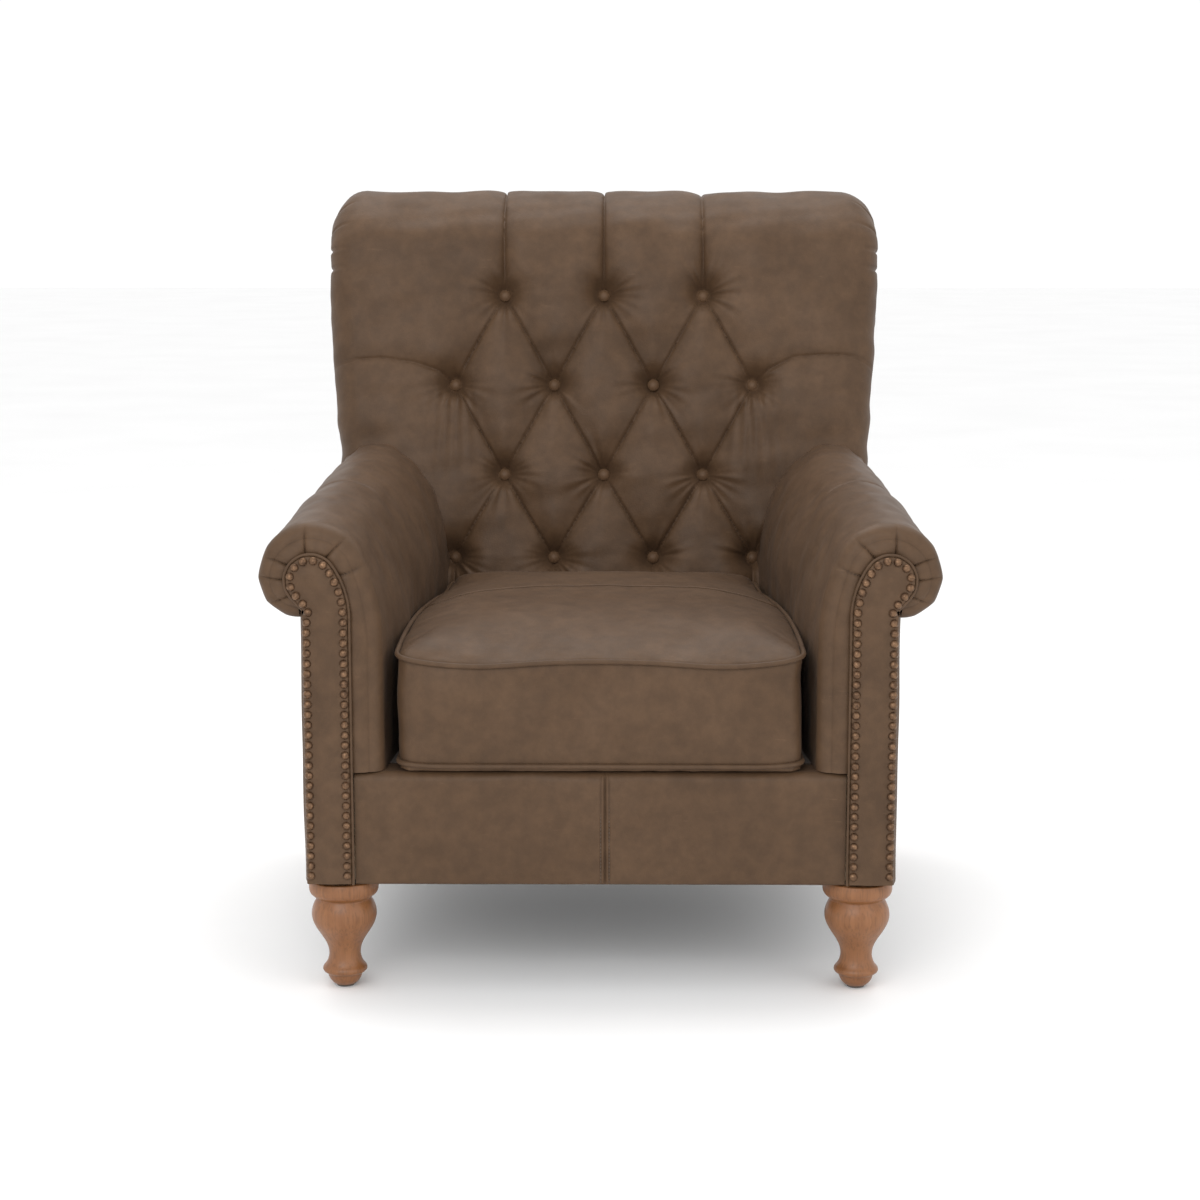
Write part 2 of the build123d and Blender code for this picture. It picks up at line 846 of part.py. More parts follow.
back_foot = deck_bottom
with BuildPart() as back_cover:
    extrude(back_outline(0, back_foot, panel + gap).sketch, amount=back_half, both=True)
    # between the outside arm panels, below the shoulders
    for side in (-1, 1):
        inner, outer = outer_skin - side_clearance, back_half + 1
        low_x, high_x = sorted((side * inner, side * outer))
        box_between((low_x, front_y, 0), (high_x, total_depth, shoulder_z), Mode.SUBTRACT)
    # hollow for the foam, the webbing and the frame
    hollow = back_outline(tuft_layer, back_foot - 1, 0)
    extrude(hollow.sketch, amount=post_outer + gap, both=True, mode=Mode.SUBTRACT)
    clear_arm_rails()
    for x, z in button_places():
        with Locations(facing_out(x, z, button_depth)):
            Cone(
                button_radius + 1.0,
                pocket_radius,
                button_depth + 0.5,
                align=(Align.CENTER, Align.CENTER, Align.MIN),
                mode=Mode.SUBTRACT,
            )
            Cylinder(
                twine_radius + 0.4,
                tuft_layer,
                align=(Align.CENTER, Align.CENTER, Align.MAX),
                mode=Mode.SUBTRACT,
            )
save(back_cover, "back_cover")

foam_back = tuft_layer + foam_layer
with BuildPart() as back_foam:
    core = back_outline(tuft_layer + gap, back_foot, 0)
    extrude(core.sketch, amount=post_outer - 0.2, both=True)
    # leave the frame's space, and square off the roll's core behind
    with BuildSketch(Plane.YZ) as frame_space:
        with BuildLine():
            top = max(back_top_rail_z[1], roll_tail_z) + gap
            Polyline(
                (back_y(back_foot - 1, foam_back), back_foot - 1),
                (back_y(top, foam_back), top),
                (rear_y(top, panel + 1.5), top),
                (rear_y(top, -50), top),
                (rear_y(back_foot - 1, -50), back_foot - 1),
                close=True,
            )
        make_face()
    extrude(amount=body_half, both=True, mode=Mode.SUBTRACT)
    with BuildSketch(Plane.YZ) as tail_space:
        with BuildLine():
            reach = back_roll_radius + 10
            core = tuft_layer - 20
            Polyline(
                (back_roll_y + core * cos(roll_end) - 1.0, back_roll_z + core * sin(roll_end)),
                (back_roll_y + reach * cos(roll_end) - 1.0, back_roll_z + reach * sin(roll_end)),
                (back_roll_y + 2 * reach, back_roll_z + reach * sin(roll_end)),
                (back_roll_y + 2 * reach, back_roll_z + core * sin(roll_end)),
                close=True,
            )
        make_face()
    extrude(amount=body_half, both=True, mode=Mode.SUBTRACT)
    clear_arm_rails()
    for x, z in button_places():
        with Locations(facing_out(x, z, foam_back + toggle_thick + 2 * gap)):
            Cylinder(
                twine_radius + 0.4,
                foam_back,
                align=(Align.CENTER, Align.CENTER, Align.MIN),
                mode=Mode.SUBTRACT,
            )
            Cylinder(
                toggle_radius + gap,
                toggle_thick + 2 * gap,
                align=(Align.CENTER, Align.CENTER, Align.MIN),
                mode=Mode.SUBTRACT,
            )
save(back_foam, "back_foam")

with BuildPart() as button_twine:
    for x, z in button_places():
        with Locations(facing_out(x, z, foam_back + gap)):
            Cylinder(
                twine_radius,
                foam_back - button_depth,
                align=(Align.CENTER, Align.CENTER, Align.MIN),
            )
            Cylinder(
                toggle_radius,
                toggle_thick,
                align=(Align.CENTER, Align.CENTER, Align.MAX),
            )
save(button_twine, "button_twine")

with BuildPart() as button:
    with BuildSketch(Plane.XZ) as half_button:
        with BuildLine():
            rim = 1.6
            Polyline((0, 0), (button_radius - 0.8, 0), (button_radius, rim))
            dome = dome_radius(button_radius, button_height - rim)
            RadiusArc((button_radius, rim), (0, button_height), -dome)
            Line((0, button_height), (0, 0))
        make_face()
    revolve(axis=Axis.Z)

with BuildPart() as back_buttons:
    for x, z in button_places():
        with Locations(facing_out(x, z, button_depth - gap)):
            add(button.part)
save(back_buttons, "back_buttons")

with BuildPart() as outside_back:
    with BuildSketch(Plane.YZ) as profile:
        with BuildLine():
            top_z = roll_tail_z - gap
            Polyline(
                (rear_y(base_z, panel), base_z),
                (rear_y(base_z), base_z),
                (rear_y(top_z), top_z),
                (rear_y(top_z, panel), top_z),
                close=True,
            )
        make_face()
    extrude(amount=back_half - gap, both=True)
    for side in (-1, 1):
        low_x, high_x = sorted((side * body_half, side * (back_half + 1)))
        box_between((low_x, front_y, 0), (high_x, total_depth, shoulder_z), Mode.SUBTRACT)
save(outside_back, "outside_back")

# ---------------------------------------------------------------- seat cushion
cushion_bottom = deck_top + cushion_lift
boxing_low = cushion_bottom + leather + gap
boxing_high = boxing_low + cushion_box
crown_z = boxing_high + gap


def cushion_plan(z, plan_z, inset, corner):
    """The cushion's plan at height z, with its rear edge where plan_z puts it."""
    front = front_y + cushion_setback + inset
    rear = back_y(plan_z, 0) - cushion_back_gap - inset
    with BuildSketch(Plane.XY.offset(z)) as plan:
        with BuildLine():
            Polyline(
                (-(cushion_front_half - inset), front),
                (cushion_front_half - inset, front),
                (cushion_rear_half - inset, rear),
                (-(cushion_rear_half - inset), rear),
                close=True,
            )
        make_face()
        fillet(plan.vertices(), radius=corner)
    return plan


def cushion_block(inset, low, high):
    """The straight part of the cushion between two heights, its rear face parallel to the back."""
    with BuildPart() as block:
        add(cushion_plan(low, low, inset, cushion_corner - inset).sketch)
        add(cushion_plan(high, high, inset, cushion_corner - inset).sketch)
        loft(ruled=True)
    return block


def crown_block(inset, sink):
    """The crown over the boxing, sunk and drawn in by a cover's thickness."""
    with BuildPart() as block:
        add(cushion_plan(crown_z, crown_z, inset, cushion_corner - inset).sketch)
        top = crown_z + cushion_crown - sink
        add(cushion_plan(top, crown_z, crown_inset + inset, cushion_corner - inset).sketch)
        loft(ruled=True)
    return block


with BuildPart() as cushion_base_panel:
    add(cushion_plan(cushion_bottom, cushion_bottom, 0, cushion_corner).sketch)
    extrude(amount=leather)
save(cushion_base_panel, "cushion_base_panel")

with BuildPart() as cushion_boxing:
    add(cushion_block(0, boxing_low, boxing_high).part)
    add(cushion_block(leather, boxing_low, boxing_high).part, mode=Mode.SUBTRACT)
save(cushion_boxing, "cushion_boxing")

with BuildPart() as cushion_top_panel:
    add(crown_block(0, 0).part)
    add(crown_block(2 * leather, 2 * leather).part, mode=Mode.SUBTRACT)
save(cushion_top_panel, "cushion_top_panel")

with BuildPart() as cushion_foam:
    add(cushion_block(leather + gap, boxing_low, crown_z).part)
    add(crown_block(2 * leather + gap, 2 * leather + gap).part)
save(cushion_foam, "cushion_foam")


def piping_loop(z):
    """Piping round the cushion at height z."""
    with BuildPart() as loop:
        outset = -(piping_radius + gap)
        plan = cushion_plan(z, z, outset, cushion_corner - outset)
        path = plan.sketch.faces()[0].outer_wire()
        with BuildSketch(Plane(path @ 0.1, z_dir=path % 0.1)) as cord:
            Circle(piping_radius)
        sweep(path=path)
    return loop


save(piping_loop(boxing_low + piping_radius), "cushion_piping_bottom")
save(piping_loop(boxing_high - piping_radius), "cushion_piping_top")

# the zip lies on the rear face of the boxing, which leans with the back
zip_z = boxing_low + cushion_box / 2


def zip_frame(out):
    """A plane on the rear face at the zip's height, out from it: local x is X, local y runs up the face."""
    y = back_y(zip_z) - cushion_back_gap + out * cos(recline)
    return Plane(
        (0, y, zip_z - out * sin(recline)), x_dir=(-1, 0, 0), z_dir=(0, cos(recline), -sin(recline))
    )


with BuildPart() as zip_tape:
    with BuildSketch(zip_frame(gap)) as tape:
        Rectangle(zip_length, zip_tape_height)
    extrude(amount=zip_tape_thick)
    with BuildSketch(zip_frame(gap + zip_tape_thick)) as chain:
        Rectangle(zip_length, zip_chain_height)
    extrude(amount=zip_chain_thick)
save(zip_tape, "zip_tape")

slider_start = zip_length / 2 - zip_slider_length / 2
slider_out = gap + zip_tape_thick + zip_chain_thick + 0.2
with BuildPart() as zip_slider:
    with BuildSketch(zip_frame(slider_out)) as body:
        with Locations((slider_start, 0)):
            RectangleRounded(zip_slider_length, zip_slider_height, 2.0)
    extrude(amount=zip_slider_thick)
    # side lips that keep it on the chain
    with BuildSketch(zip_frame(gap + zip_tape_thick + 0.2)) as lips:
        for side in (-1, 1):
            with Locations((slider_start, side * (zip_chain_height / 2 + 0.2 + 0.5))):
                Rectangle(zip_slider_length - 3, 1.0)
    extrude(amount=zip_chain_thick + 0.1)
save(zip_slider, "zip_slider")

with BuildPart() as zip_pull:
    with BuildSketch(zip_frame(slider_out + zip_slider_thick + gap)) as tab:
        with Locations((slider_start, -zip_pull_length / 2 + 2.0)):
            RectangleRounded(6.0, zip_pull_length, 2.5)
        with Locations((slider_start, -zip_pull_length + 6.0)):
            Circle(1.6, mode=Mode.SUBTRACT)
    extrude(amount=zip_pull_thick)
save(zip_pull, "zip_pull")

# ---------------------------------------------------------------- legs
def bolt_hole():
    """The hanger bolt's hole in the top of a leg, from the current location down."""
    Cylinder(
        bolt_radius + thread_clearance,
        bolt_into_leg + 1.0,
        align=(Align.CENTER, Align.CENTER, Align.MAX),
        mode=Mode.SUBTRACT,
    )


def glide_hole():
    """The glide pin's hole in the foot of a leg, from the current location up."""
    Cylinder(
        glide_pin_radius + thread_clearance,
        glide_pin + 1.0,
        align=(Align.CENTER, Align.CENTER, Align.MIN),
        mode=Mode.SUBTRACT,
    )


with BuildPart() as front_leg:
    with BuildSketch(Plane.XZ) as profile:
        with BuildLine():
            Line((0, glide_height), (14.0, glide_height))
            foot_curve = Spline(
                (14.0, glide_height), (19.0, 8.0), (22.0, 16.5), tangents=((1, 0.7), (0.25, 1))
            )
            Line((22.0, 16.5), (23.6, 17.5))
            ThreePointArc((23.6, 17.5), (27.9, 22.0), (25.0, 27.5))
            Spline(
                (25.0, 27.5),
                (19.6, 41.5),
                (24.4, 59.0),
                (37.4, 80.0),
                (41.3, 95.0),
                (34.2, 113.5),
                tangents=((-1, 0.9), (-0.8, 1)),
            )
            Line((34.2, 113.5), (34.6, 115.5))
            ThreePointArc((34.6, 115.5), (43.9, 125.5), (42.6, leg_height))
            Polyline((42.6, leg_height), (0, leg_height), (0, glide_height))
        make_face()
    revolve(axis=Axis.Z)
    with Locations((0, 0, leg_height)):
        bolt_hole()
    with Locations((0, 0, glide_height)):
        glide_hole()

with BuildPart() as front_leg_placed:
    with Locations((front_leg_x, front_leg_y, 0)):
        add(front_leg.part)
save_mirrored(front_leg_placed, "front_leg")

rear_foot_y = rear_leg_y + rear_leg_rake
with BuildPart() as rear_leg:
    with BuildSketch(Plane.XY.offset(glide_height)) as foot:
        with Locations((rear_leg_x, rear_foot_y)):
            RectangleRounded(rear_leg_foot, rear_leg_foot, 3.0)
    with BuildSketch(Plane.XY.offset(leg_height)) as top:
        with Locations((rear_leg_x, rear_leg_y)):
            RectangleRounded(rear_leg_top, rear_leg_top, 3.0)
    loft(ruled=True)
    with Locations((rear_leg_x, rear_leg_y, leg_height)):
        bolt_hole()
    with Locations((rear_leg_x, rear_foot_y, glide_height)):
        glide_hole()
save_mirrored(rear_leg, "rear_leg")

leg_tops = [(s * front_leg_x, front_leg_y) for s in (-1, 1)] + [
    (s * rear_leg_x, rear_leg_y) for s in (-1, 1)
]
leg_feet = [(s * front_leg_x, front_leg_y) for s in (-1, 1)] + [
    (s * rear_leg_x, rear_foot_y) for s in (-1, 1)
]

with BuildPart() as leg_bolts:
    with Locations(*[(x, y, leg_height - bolt_into_leg) for x, y in leg_tops]):
        Cylinder(
            bolt_radius,
            bolt_into_leg + base_z - leg_height + bolt_into_post,
            align=(Align.CENTER, Align.CENTER, Align.MIN),
        )
save(leg_bolts, "leg_bolts")

with BuildPart() as tee_nuts:
    with Locations(*[(x, y, base_z) for x, y in leg_tops]):
        Cylinder(
            tee_flange_radius, tee_flange_thick, align=(Align.CENTER, Align.CENTER, Align.MIN)
        )
        Cylinder(
            tee_barrel_radius,
            tee_flange_thick + tee_barrel,
            align=(Align.CENTER, Align.CENTER, Align.MIN),
        )
        Cylinder(
            bolt_radius + thread_clearance,
            tee_flange_thick + tee_barrel,
            align=(Align.CENTER, Align.CENTER, Align.MIN),
            mode=Mode.SUBTRACT,
        )
save(tee_nuts, "tee_nuts")

with BuildPart() as glides:
    with Locations(*[(x, y, 0) for x, y in leg_feet]):
        Cylinder(glide_radius, glide_height, align=(Align.CENTER, Align.CENTER, Align.MIN))
        Cylinder(
            glide_pin_radius, glide_height + glide_pin, align=(Align.CENTER, Align.CENTER, Align.MIN)
        )
save(glides, "glides")

with BuildPart() as dust_cover:
    dust_z = leg_height + gap
    box_between(
        (-outer_skin + 1, border_front + 9.5, dust_z),
        (outer_skin - 1, rear_y(base_z, panel) - 1, dust_z + dust_thick),
    )
    with Locations(*[(x, y, dust_z) for x, y in leg_tops]):
        Cylinder(
            bolt_radius + gap,
            dust_thick,
            align=(Align.CENTER, Align.CENTER, Align.MIN),
            mode=Mode.SUBTRACT,
        )
save(dust_cover, "dust_cover")
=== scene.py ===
import json
from math import atan2, cos, pi, radians, sin, sqrt, tan

import bmesh
import bpy
import numpy as np
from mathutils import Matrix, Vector
from mathutils.bvhtree import BVHTree


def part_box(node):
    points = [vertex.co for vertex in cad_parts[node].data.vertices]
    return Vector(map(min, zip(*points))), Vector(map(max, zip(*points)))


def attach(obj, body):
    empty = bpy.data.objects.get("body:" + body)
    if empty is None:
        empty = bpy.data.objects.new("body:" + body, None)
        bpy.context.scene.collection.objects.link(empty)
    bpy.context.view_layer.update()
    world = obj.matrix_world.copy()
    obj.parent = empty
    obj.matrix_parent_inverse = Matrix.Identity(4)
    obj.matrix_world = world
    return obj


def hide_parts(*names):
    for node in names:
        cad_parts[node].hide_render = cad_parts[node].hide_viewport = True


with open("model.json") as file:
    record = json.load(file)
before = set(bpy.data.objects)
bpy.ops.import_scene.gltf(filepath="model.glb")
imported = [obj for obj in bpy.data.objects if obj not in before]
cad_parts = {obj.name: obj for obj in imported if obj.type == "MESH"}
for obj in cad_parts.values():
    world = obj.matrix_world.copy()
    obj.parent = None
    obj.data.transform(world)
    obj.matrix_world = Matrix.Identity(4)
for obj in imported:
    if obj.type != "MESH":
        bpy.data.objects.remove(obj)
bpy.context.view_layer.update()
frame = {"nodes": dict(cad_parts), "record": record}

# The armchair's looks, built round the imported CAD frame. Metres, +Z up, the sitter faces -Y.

CHAIR, CUSHION = "chair", "seat_cushion"

# ---------------------------------------------------------------- places from the frame
nails_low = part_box("facing_nails_right")[0]
cover_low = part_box("arm_cover_right")[0]
back_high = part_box("back_cover")[1]
facing_low, facing_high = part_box("arm_facing_right")
border_low, border_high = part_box("front_border")
boxing_low, boxing_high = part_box("cushion_boxing")
panel_low, panel_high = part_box("outside_arm_right")
outside_low, outside_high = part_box("outside_back")

front_y = nails_low.y
arm_front = cover_low.y
arm_bottom = cover_low.z
body_half = panel_high.x
base_z = panel_low.z

# sizes that the frame's own section shares
RECLINE = radians(11.5)
REAR_LEAN = radians(6.5)
SEAT_DEPTH = 0.560
SEAT_LEVEL = 0.430
ROLL_RADIUS = 0.097
ROLL_END = radians(-66)
ARM_LENGTH = 0.590
ARM_SEAM = 0.295  # the arm's joining seam, behind the arm front
roll_y = back_high.y - ROLL_RADIUS
roll_z = back_high.z - ROLL_RADIUS


def lerp(a, b, t):
    return a + (b - a) * t


def smooth(t):
    """Smooth step from 0 to 1."""
    t = np.clip(t, 0.0, 1.0)
    return t * t * (3 - 2 * t)


def spaced(*axes):
    """Points from arrays or numbers for each axis."""
    return np.stack(np.broadcast_arrays(*axes), -1)


def bell(t, width):
    """Bell curve of unit height."""
    return np.exp(-((t / width) ** 2))


def back_y(z):
    """Y of the inside back's plane at height z."""
    return front_y + SEAT_DEPTH + (z - SEAT_LEVEL) * tan(RECLINE)


def rear_y(z):
    """Y of the outside back's face at height z."""
    return outside_low.y + 0.0027 + (z - outside_low.z) * tan(REAR_LEAN)


def ripple(points, wavelength, seed, count=10):
    """A smooth pseudo-random field of about unit size."""
    rng = np.random.default_rng(seed)
    total = np.zeros(points.shape[:-1])
    for _ in range(count):
        direction = rng.normal(size=3)
        direction *= 2 * pi / (np.linalg.norm(direction) * wavelength * rng.uniform(0.6, 1.7))
        total += np.sin(points @ direction + rng.uniform(0, 2 * pi))
    return total / sqrt(count / 2)


# ---------------------------------------------------------------- mesh helpers
def placed(name, data):
    """A new object in the scene."""
    thing = bpy.data.objects.new(name, data)
    bpy.context.scene.collection.objects.link(thing)
    return thing


def mesh_piece(name, points, quads, body, material):
    """A smooth mesh from an array of points and an array of quads."""
    mesh = bpy.data.meshes.new(name)
    mesh.vertices.add(len(points))
    mesh.vertices.foreach_set("co", np.asarray(points, np.float32).ravel())
    mesh.loops.add(quads.size)
    mesh.loops.foreach_set("vertex_index", quads.ravel().astype(np.int32))
    mesh.polygons.add(len(quads))
    mesh.polygons.foreach_set("loop_start", np.arange(0, quads.size, 4, dtype=np.int32))
    mesh.polygons.foreach_set("use_smooth", np.ones(len(quads), bool))
    mesh.update(calc_edges=True)
    mesh.validate()
    piece = placed(name, mesh)
    mesh.materials.append(material)
    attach(piece, body)
    return piece


def vertex_places(mesh):
    """The places of a mesh's vertices."""
    places = np.zeros(len(mesh.vertices) * 3, np.float32)
    mesh.vertices.foreach_get("co", places)
    return places.reshape(-1, 3)


def subdivided(piece):
    """Smooths the piece with one level of subdivision."""
    finer = piece.modifiers.new("finer", "SUBSURF")
    finer.levels = finer.render_levels = 1


def grid_quads(rows, cols, closed=False, flip=False, start=0):
    """Quads of a grid of points, whose columns may close on themselves."""
    r = np.arange(rows - 1)[:, None]
    c = np.arange(cols if closed else cols - 1)[None, :]
    after = (c + 1) % cols
    quads = np.stack(
        [r * cols + c, r * cols + after, (r + 1) * cols + after, (r + 1) * cols + c], axis=-1
    ).reshape(-1, 4)
    return (quads[:, ::-1] if flip else quads) + start


def grid_piece(name, grid, body, material, closed=False, flip=False):
    """A smooth surface through a grid of points."""
    rows, cols, _ = grid.shape
    return mesh_piece(
        name, grid.reshape(-1, 3), grid_quads(rows, cols, closed, flip), body, material
    )


def on_side(grid, sign):
    """A grid made for the chair's +X side, put on the side of the sign."""
    return grid * np.array([sign, 1.0, 1.0])


def tube(name, path, radius, body, material, closed=False, sides=12):
    """A round cord along a path of points."""
    path = np.asarray(path, float)
    if closed:
        tangent = np.roll(path, -1, 0) - np.roll(path, 1, 0)
    else:
        tangent = np.gradient(path, axis=0)
    tangent /= np.linalg.norm(tangent, axis=1)[:, None]
    side = np.cross(tangent, np.array([0.13, 0.21, 0.97]))
    side /= np.linalg.norm(side, axis=1)[:, None]
    over = np.cross(tangent, side)
    angle = np.arange(sides) * 2 * pi / sides
    ring = side[:, None] * np.cos(angle)[None, :, None] + over[:, None] * np.sin(angle)[None, :, None]
    points = path[:, None] + radius * ring
    if closed:
        points = np.concatenate([points, points[:1]])
    return grid_piece(name, points, body, material, closed=True)


def lathe(name, profile, centre, body, material, segments=96):
    """A turned piece from (radius, height) points about a vertical line."""
    angle = np.arange(segments) * 2 * pi / segments
    r, z = profile.T[:, :, None]
    grid = np.stack(
        [centre[0] + r * np.cos(angle), centre[1] + r * np.sin(angle), centre[2] + z + 0 * angle], -1
    )
    return grid_piece(name, grid, body, material, closed=True)


# ---------------------------------------------------------------- materials
def new_material(name):
    """A material with its node tree, Principled shader and object coordinates."""
    material = bpy.data.materials.new(name)
    material.use_nodes = True
    nodes = material.node_tree.nodes
    shader = nodes["Principled BSDF"]
    coords = nodes.new("ShaderNodeTexCoord").outputs["Object"]
    return material, shader, coords


def set_input(target, value):
    """Sets an input to a number or colour, or links it to a socket."""
    if isinstance(value, bpy.types.NodeSocket):
        target.id_data.links.new(value, target)
    else:
        target.default_value = value


def set_inputs(node, **values):
    """Sets a node's inputs by name; _ stands for a space."""
    for name, value in values.items():
        set_input(node.inputs[name.replace("_", " ")], value)


def new_node(beside, kind, **values):
    """A shader node of a kind in the same tree as the socket beside it, with its inputs set."""
    node = beside.id_data.nodes.new(f"ShaderNode{kind}")
    set_inputs(node, **values)
    return node


def stretched(coords, scale, turn=(0, 0, 0)):
    """Coordinates with their own scale on each axis."""
    return new_node(coords, "Mapping", Scale=scale, Rotation=turn, Vector=coords).outputs[0]


def noise(coords, scale, detail=4.0, rough=0.5, distort=0.0):
    """A noise texture's grey value."""
    values = {"Scale": scale, "Detail": detail, "Roughness": rough, "Distortion": distort}
    return new_node(coords, "TexNoise", Vector=coords, **values).outputs["Fac"]


def ramp(factor, stops):
    """A colour ramp: stops are (position, grey or colour)."""
    node = new_node(factor, "ValToRGB", Fac=factor)
    elements = node.color_ramp.elements
    while len(elements) < len(stops):
        elements.new(0.5)
    for element, (position, colour) in zip(elements, stops):
        element.position = position
        colour = (colour,) * 3 if isinstance(colour, (int, float)) else colour
        element.color = (*colour, 1)
    return node.outputs["Color"]


def mix(factor, a, b, blend="MIX"):
    """Mixes socket a with b; factor is a number or a socket."""
    node = new_node(a, "Mix")
    node.data_type, node.blend_type = "RGBA", blend
    for place, value in ((0, factor), (6, a), (7, b)):
        set_input(node.inputs[place], (*value, 1) if isinstance(value, tuple) else value)
    return node.outputs[2]


def bump(height, strength, distance, normal=None):
    """A bump of a height map, on top of another normal where one is given."""
    node = new_node(height, "Bump", Strength=strength, Distance=distance, Height=height)
    if normal is not None:
        set_inputs(node, Normal=normal)
    return node.outputs["Normal"]


HIDE_DARK = (0.064, 0.035, 0.0175)
HIDE_MID = (0.083, 0.0460, 0.0235)
HIDE_LIGHT = (0.112, 0.065, 0.036)


def leather(name, tone_and_light=1.0, wear_and_highlight=1.0):
    """Waxed full-grain leather: mottled colour, fine grain, faint scuffs, high spots lighter from wear and
    painted highlight, and painted shade in its hollows.
    """
    material, shader, coords = new_material(name)
    shade = [tuple(c * tone_and_light for c in colour) for colour in (HIDE_DARK, HIDE_MID, HIDE_LIGHT)]
    clouds = noise(coords, 8.0, 6.0, 0.6, 0.4)
    base = ramp(clouds, [(0.15, shade[0]), (0.5, shade[1]), (0.95, shade[2])])
    flecks = ramp(noise(coords, 46.0, 6.0, 0.62), [(0.38, 0.86), (0.66, 1.1)])
    base = mix(1.0, base, flecks, "MULTIPLY")
    # short faint scuffs, lighter than the hide
    scuff_way = stretched(coords, (9, 26, 60), (0.4, 0.2, 0.7))
    scuffs = ramp(noise(scuff_way, 3.0, 8.0, 0.7), [(0.63, 0.0), (0.74, 0.42 * wear_and_highlight)])
    base = mix(scuffs, base, tuple(c * 1.35 for c in shade[2]))
    # high spots are painted lighter, as rubbed wear and painted highlight together, and hollows are
    # darkened with painted shade
    pointed = new_node(coords, "NewGeometry").outputs["Pointiness"]
    high = ramp(pointed, [(0.48, 0.0), (0.58, 0.24 * wear_and_highlight)])
    base = mix(high, base, shade[2])
    hollow_shade = ramp(pointed, [(0.42, 0.55), (0.495, 0.0)])
    base = mix(hollow_shade, base, tuple(c * 0.45 for c in shade[0]))
    gloss = ramp(noise(coords, 21.0, 4.0, 0.6), [(0.3, 0.46), (0.75, 0.60)])
    # pebble grain over soft creases
    cells = new_node(coords, "TexVoronoi")
    cells.feature = "SMOOTH_F1"
    set_inputs(cells, Scale=620.0, Smoothness=0.6, Vector=coords)
    creases = noise(coords, 95.0, 7.0, 0.62, 0.8)
    normal = bump(creases, 0.20, 0.0016)
    normal = bump(cells.outputs["Distance"], 0.32, 0.00035, normal)
    set_inputs(shader, Base_Color=base, Roughness=gloss, Normal=normal)
    set_inputs(shader, Specular_IOR_Level=0.22, Sheen_Weight=0.02, Sheen_Roughness=0.5)
    return material


def turned_wood(name, dark, light):
    """Stained hardwood with grain running up the piece."""
    material, shader, coords = new_material(name)
    along = stretched(coords, (26, 26, 2.2))
    grain = ramp(noise(along, 2.4, 8.0, 0.62, 0.7), [(0.3, dark), (0.7, light)])
    fine = stretched(coords, (420, 420, 22))
    pores = ramp(noise(fine, 1.0, 3.0), [(0.36, 0.72), (0.5, 1.0)])
    base = mix(0.75, grain, pores, "MULTIPLY")
    pointed = new_node(coords, "NewGeometry").outputs["Pointiness"]
    # painted shade: the hollows of the turnings are darkened
    hollow_shade = ramp(pointed, [(0.42, 0.5), (0.49, 0.0)])
    base = mix(hollow_shade, base, tuple(c * 0.4 for c in dark))
    gloss = ramp(noise(coords, 60.0), [(0.3, 0.34), (0.7, 0.46)])
    normal = bump(pores, 0.12, 0.0004)
    set_inputs(shader, Base_Color=base, Roughness=gloss, Normal=normal)
    return material


def metal(name, dark, light, rough=(0.30, 0.5), polish=1.0):
    """Metal with patches of tarnish."""
    material, shader, coords = new_material(name)
    patches = noise(coords, 160.0, 5.0, 0.6)
    base = ramp(patches, [(0.35, dark), (0.68, light)])
    gloss = ramp(patches, [(0.3, rough[1]), (0.7, rough[0])])
    grain = bump(noise(coords, 700.0, 2.0), 0.15, 0.0003)
    set_inputs(shader, Base_Color=base, Roughness=gloss, Metallic=polish, Normal=grain)
    return material


def woven(name, dark, light, threads=900.0):
    """Plain woven cloth, twine or tape."""
    material, shader, coords = new_material(name)
    wave = new_node(coords, "TexWave", Scale=threads / 6, Distortion=1.5, Vector=coords)
    fibres = mix(0.5, wave.outputs["Color"], noise(coords, threads, 2.0))
    base = ramp(fibres, [(0.25, dark), (0.75, light)])
    normal = bump(fibres, 0.3, 0.0004)
    set_inputs(shader, Base_Color=base, Roughness=0.85, Sheen_Weight=0.2, Normal=normal)
    return material


def plain(name, dark, light, rough):
    """Foam, nylon or board: fine even texture."""
    material, shader, coords = new_material(name)
    specks = noise(coords, 340.0, 4.0, 0.6)
    base = ramp(specks, [(0.3, dark), (0.7, light)])
    normal = bump(specks, 0.2, 0.0005)
    set_inputs(shader, Base_Color=base, Roughness=rough, Normal=normal)
    return material


HIDE = leather("hide")
# the cushion's leather is the hide painted a little darker, painted shade to hold down its lit top
SHADED_HIDE_CUSHION = leather("hide_cushion", 0.98)
PIPING = leather("piping_hide", 0.92, 0.8)
# the buttons' leather is the hide painted lighter, a painted highlight for their lit domes
LIT_BUTTON_HIDE = leather("button_hide_lit", 1.35, 1.3)
LEG_WOOD = turned_wood("leg_wood", (0.190, 0.072, 0.022), (0.262, 0.108, 0.038))
FRAME_WOOD = turned_wood("frame_wood", (0.42, 0.29, 0.17), (0.60, 0.45, 0.29))
NAIL_BRASS = metal("nail_brass", (0.085, 0.048, 0.028), (0.225, 0.130, 0.073), (0.34, 0.52), 0.8)
ZIP_METAL = metal("zip_metal", (0.20, 0.13, 0.06), (0.42, 0.29, 0.14))
STEEL = metal("spring_steel", (0.20, 0.20, 0.21), (0.42, 0.42, 0.44))
ZINC = metal("hardware_steel", (0.45, 0.45, 0.46), (0.68, 0.68, 0.70))
THREAD = woven("seam_thread", (0.060, 0.040, 0.027), (0.105, 0.072, 0.050))
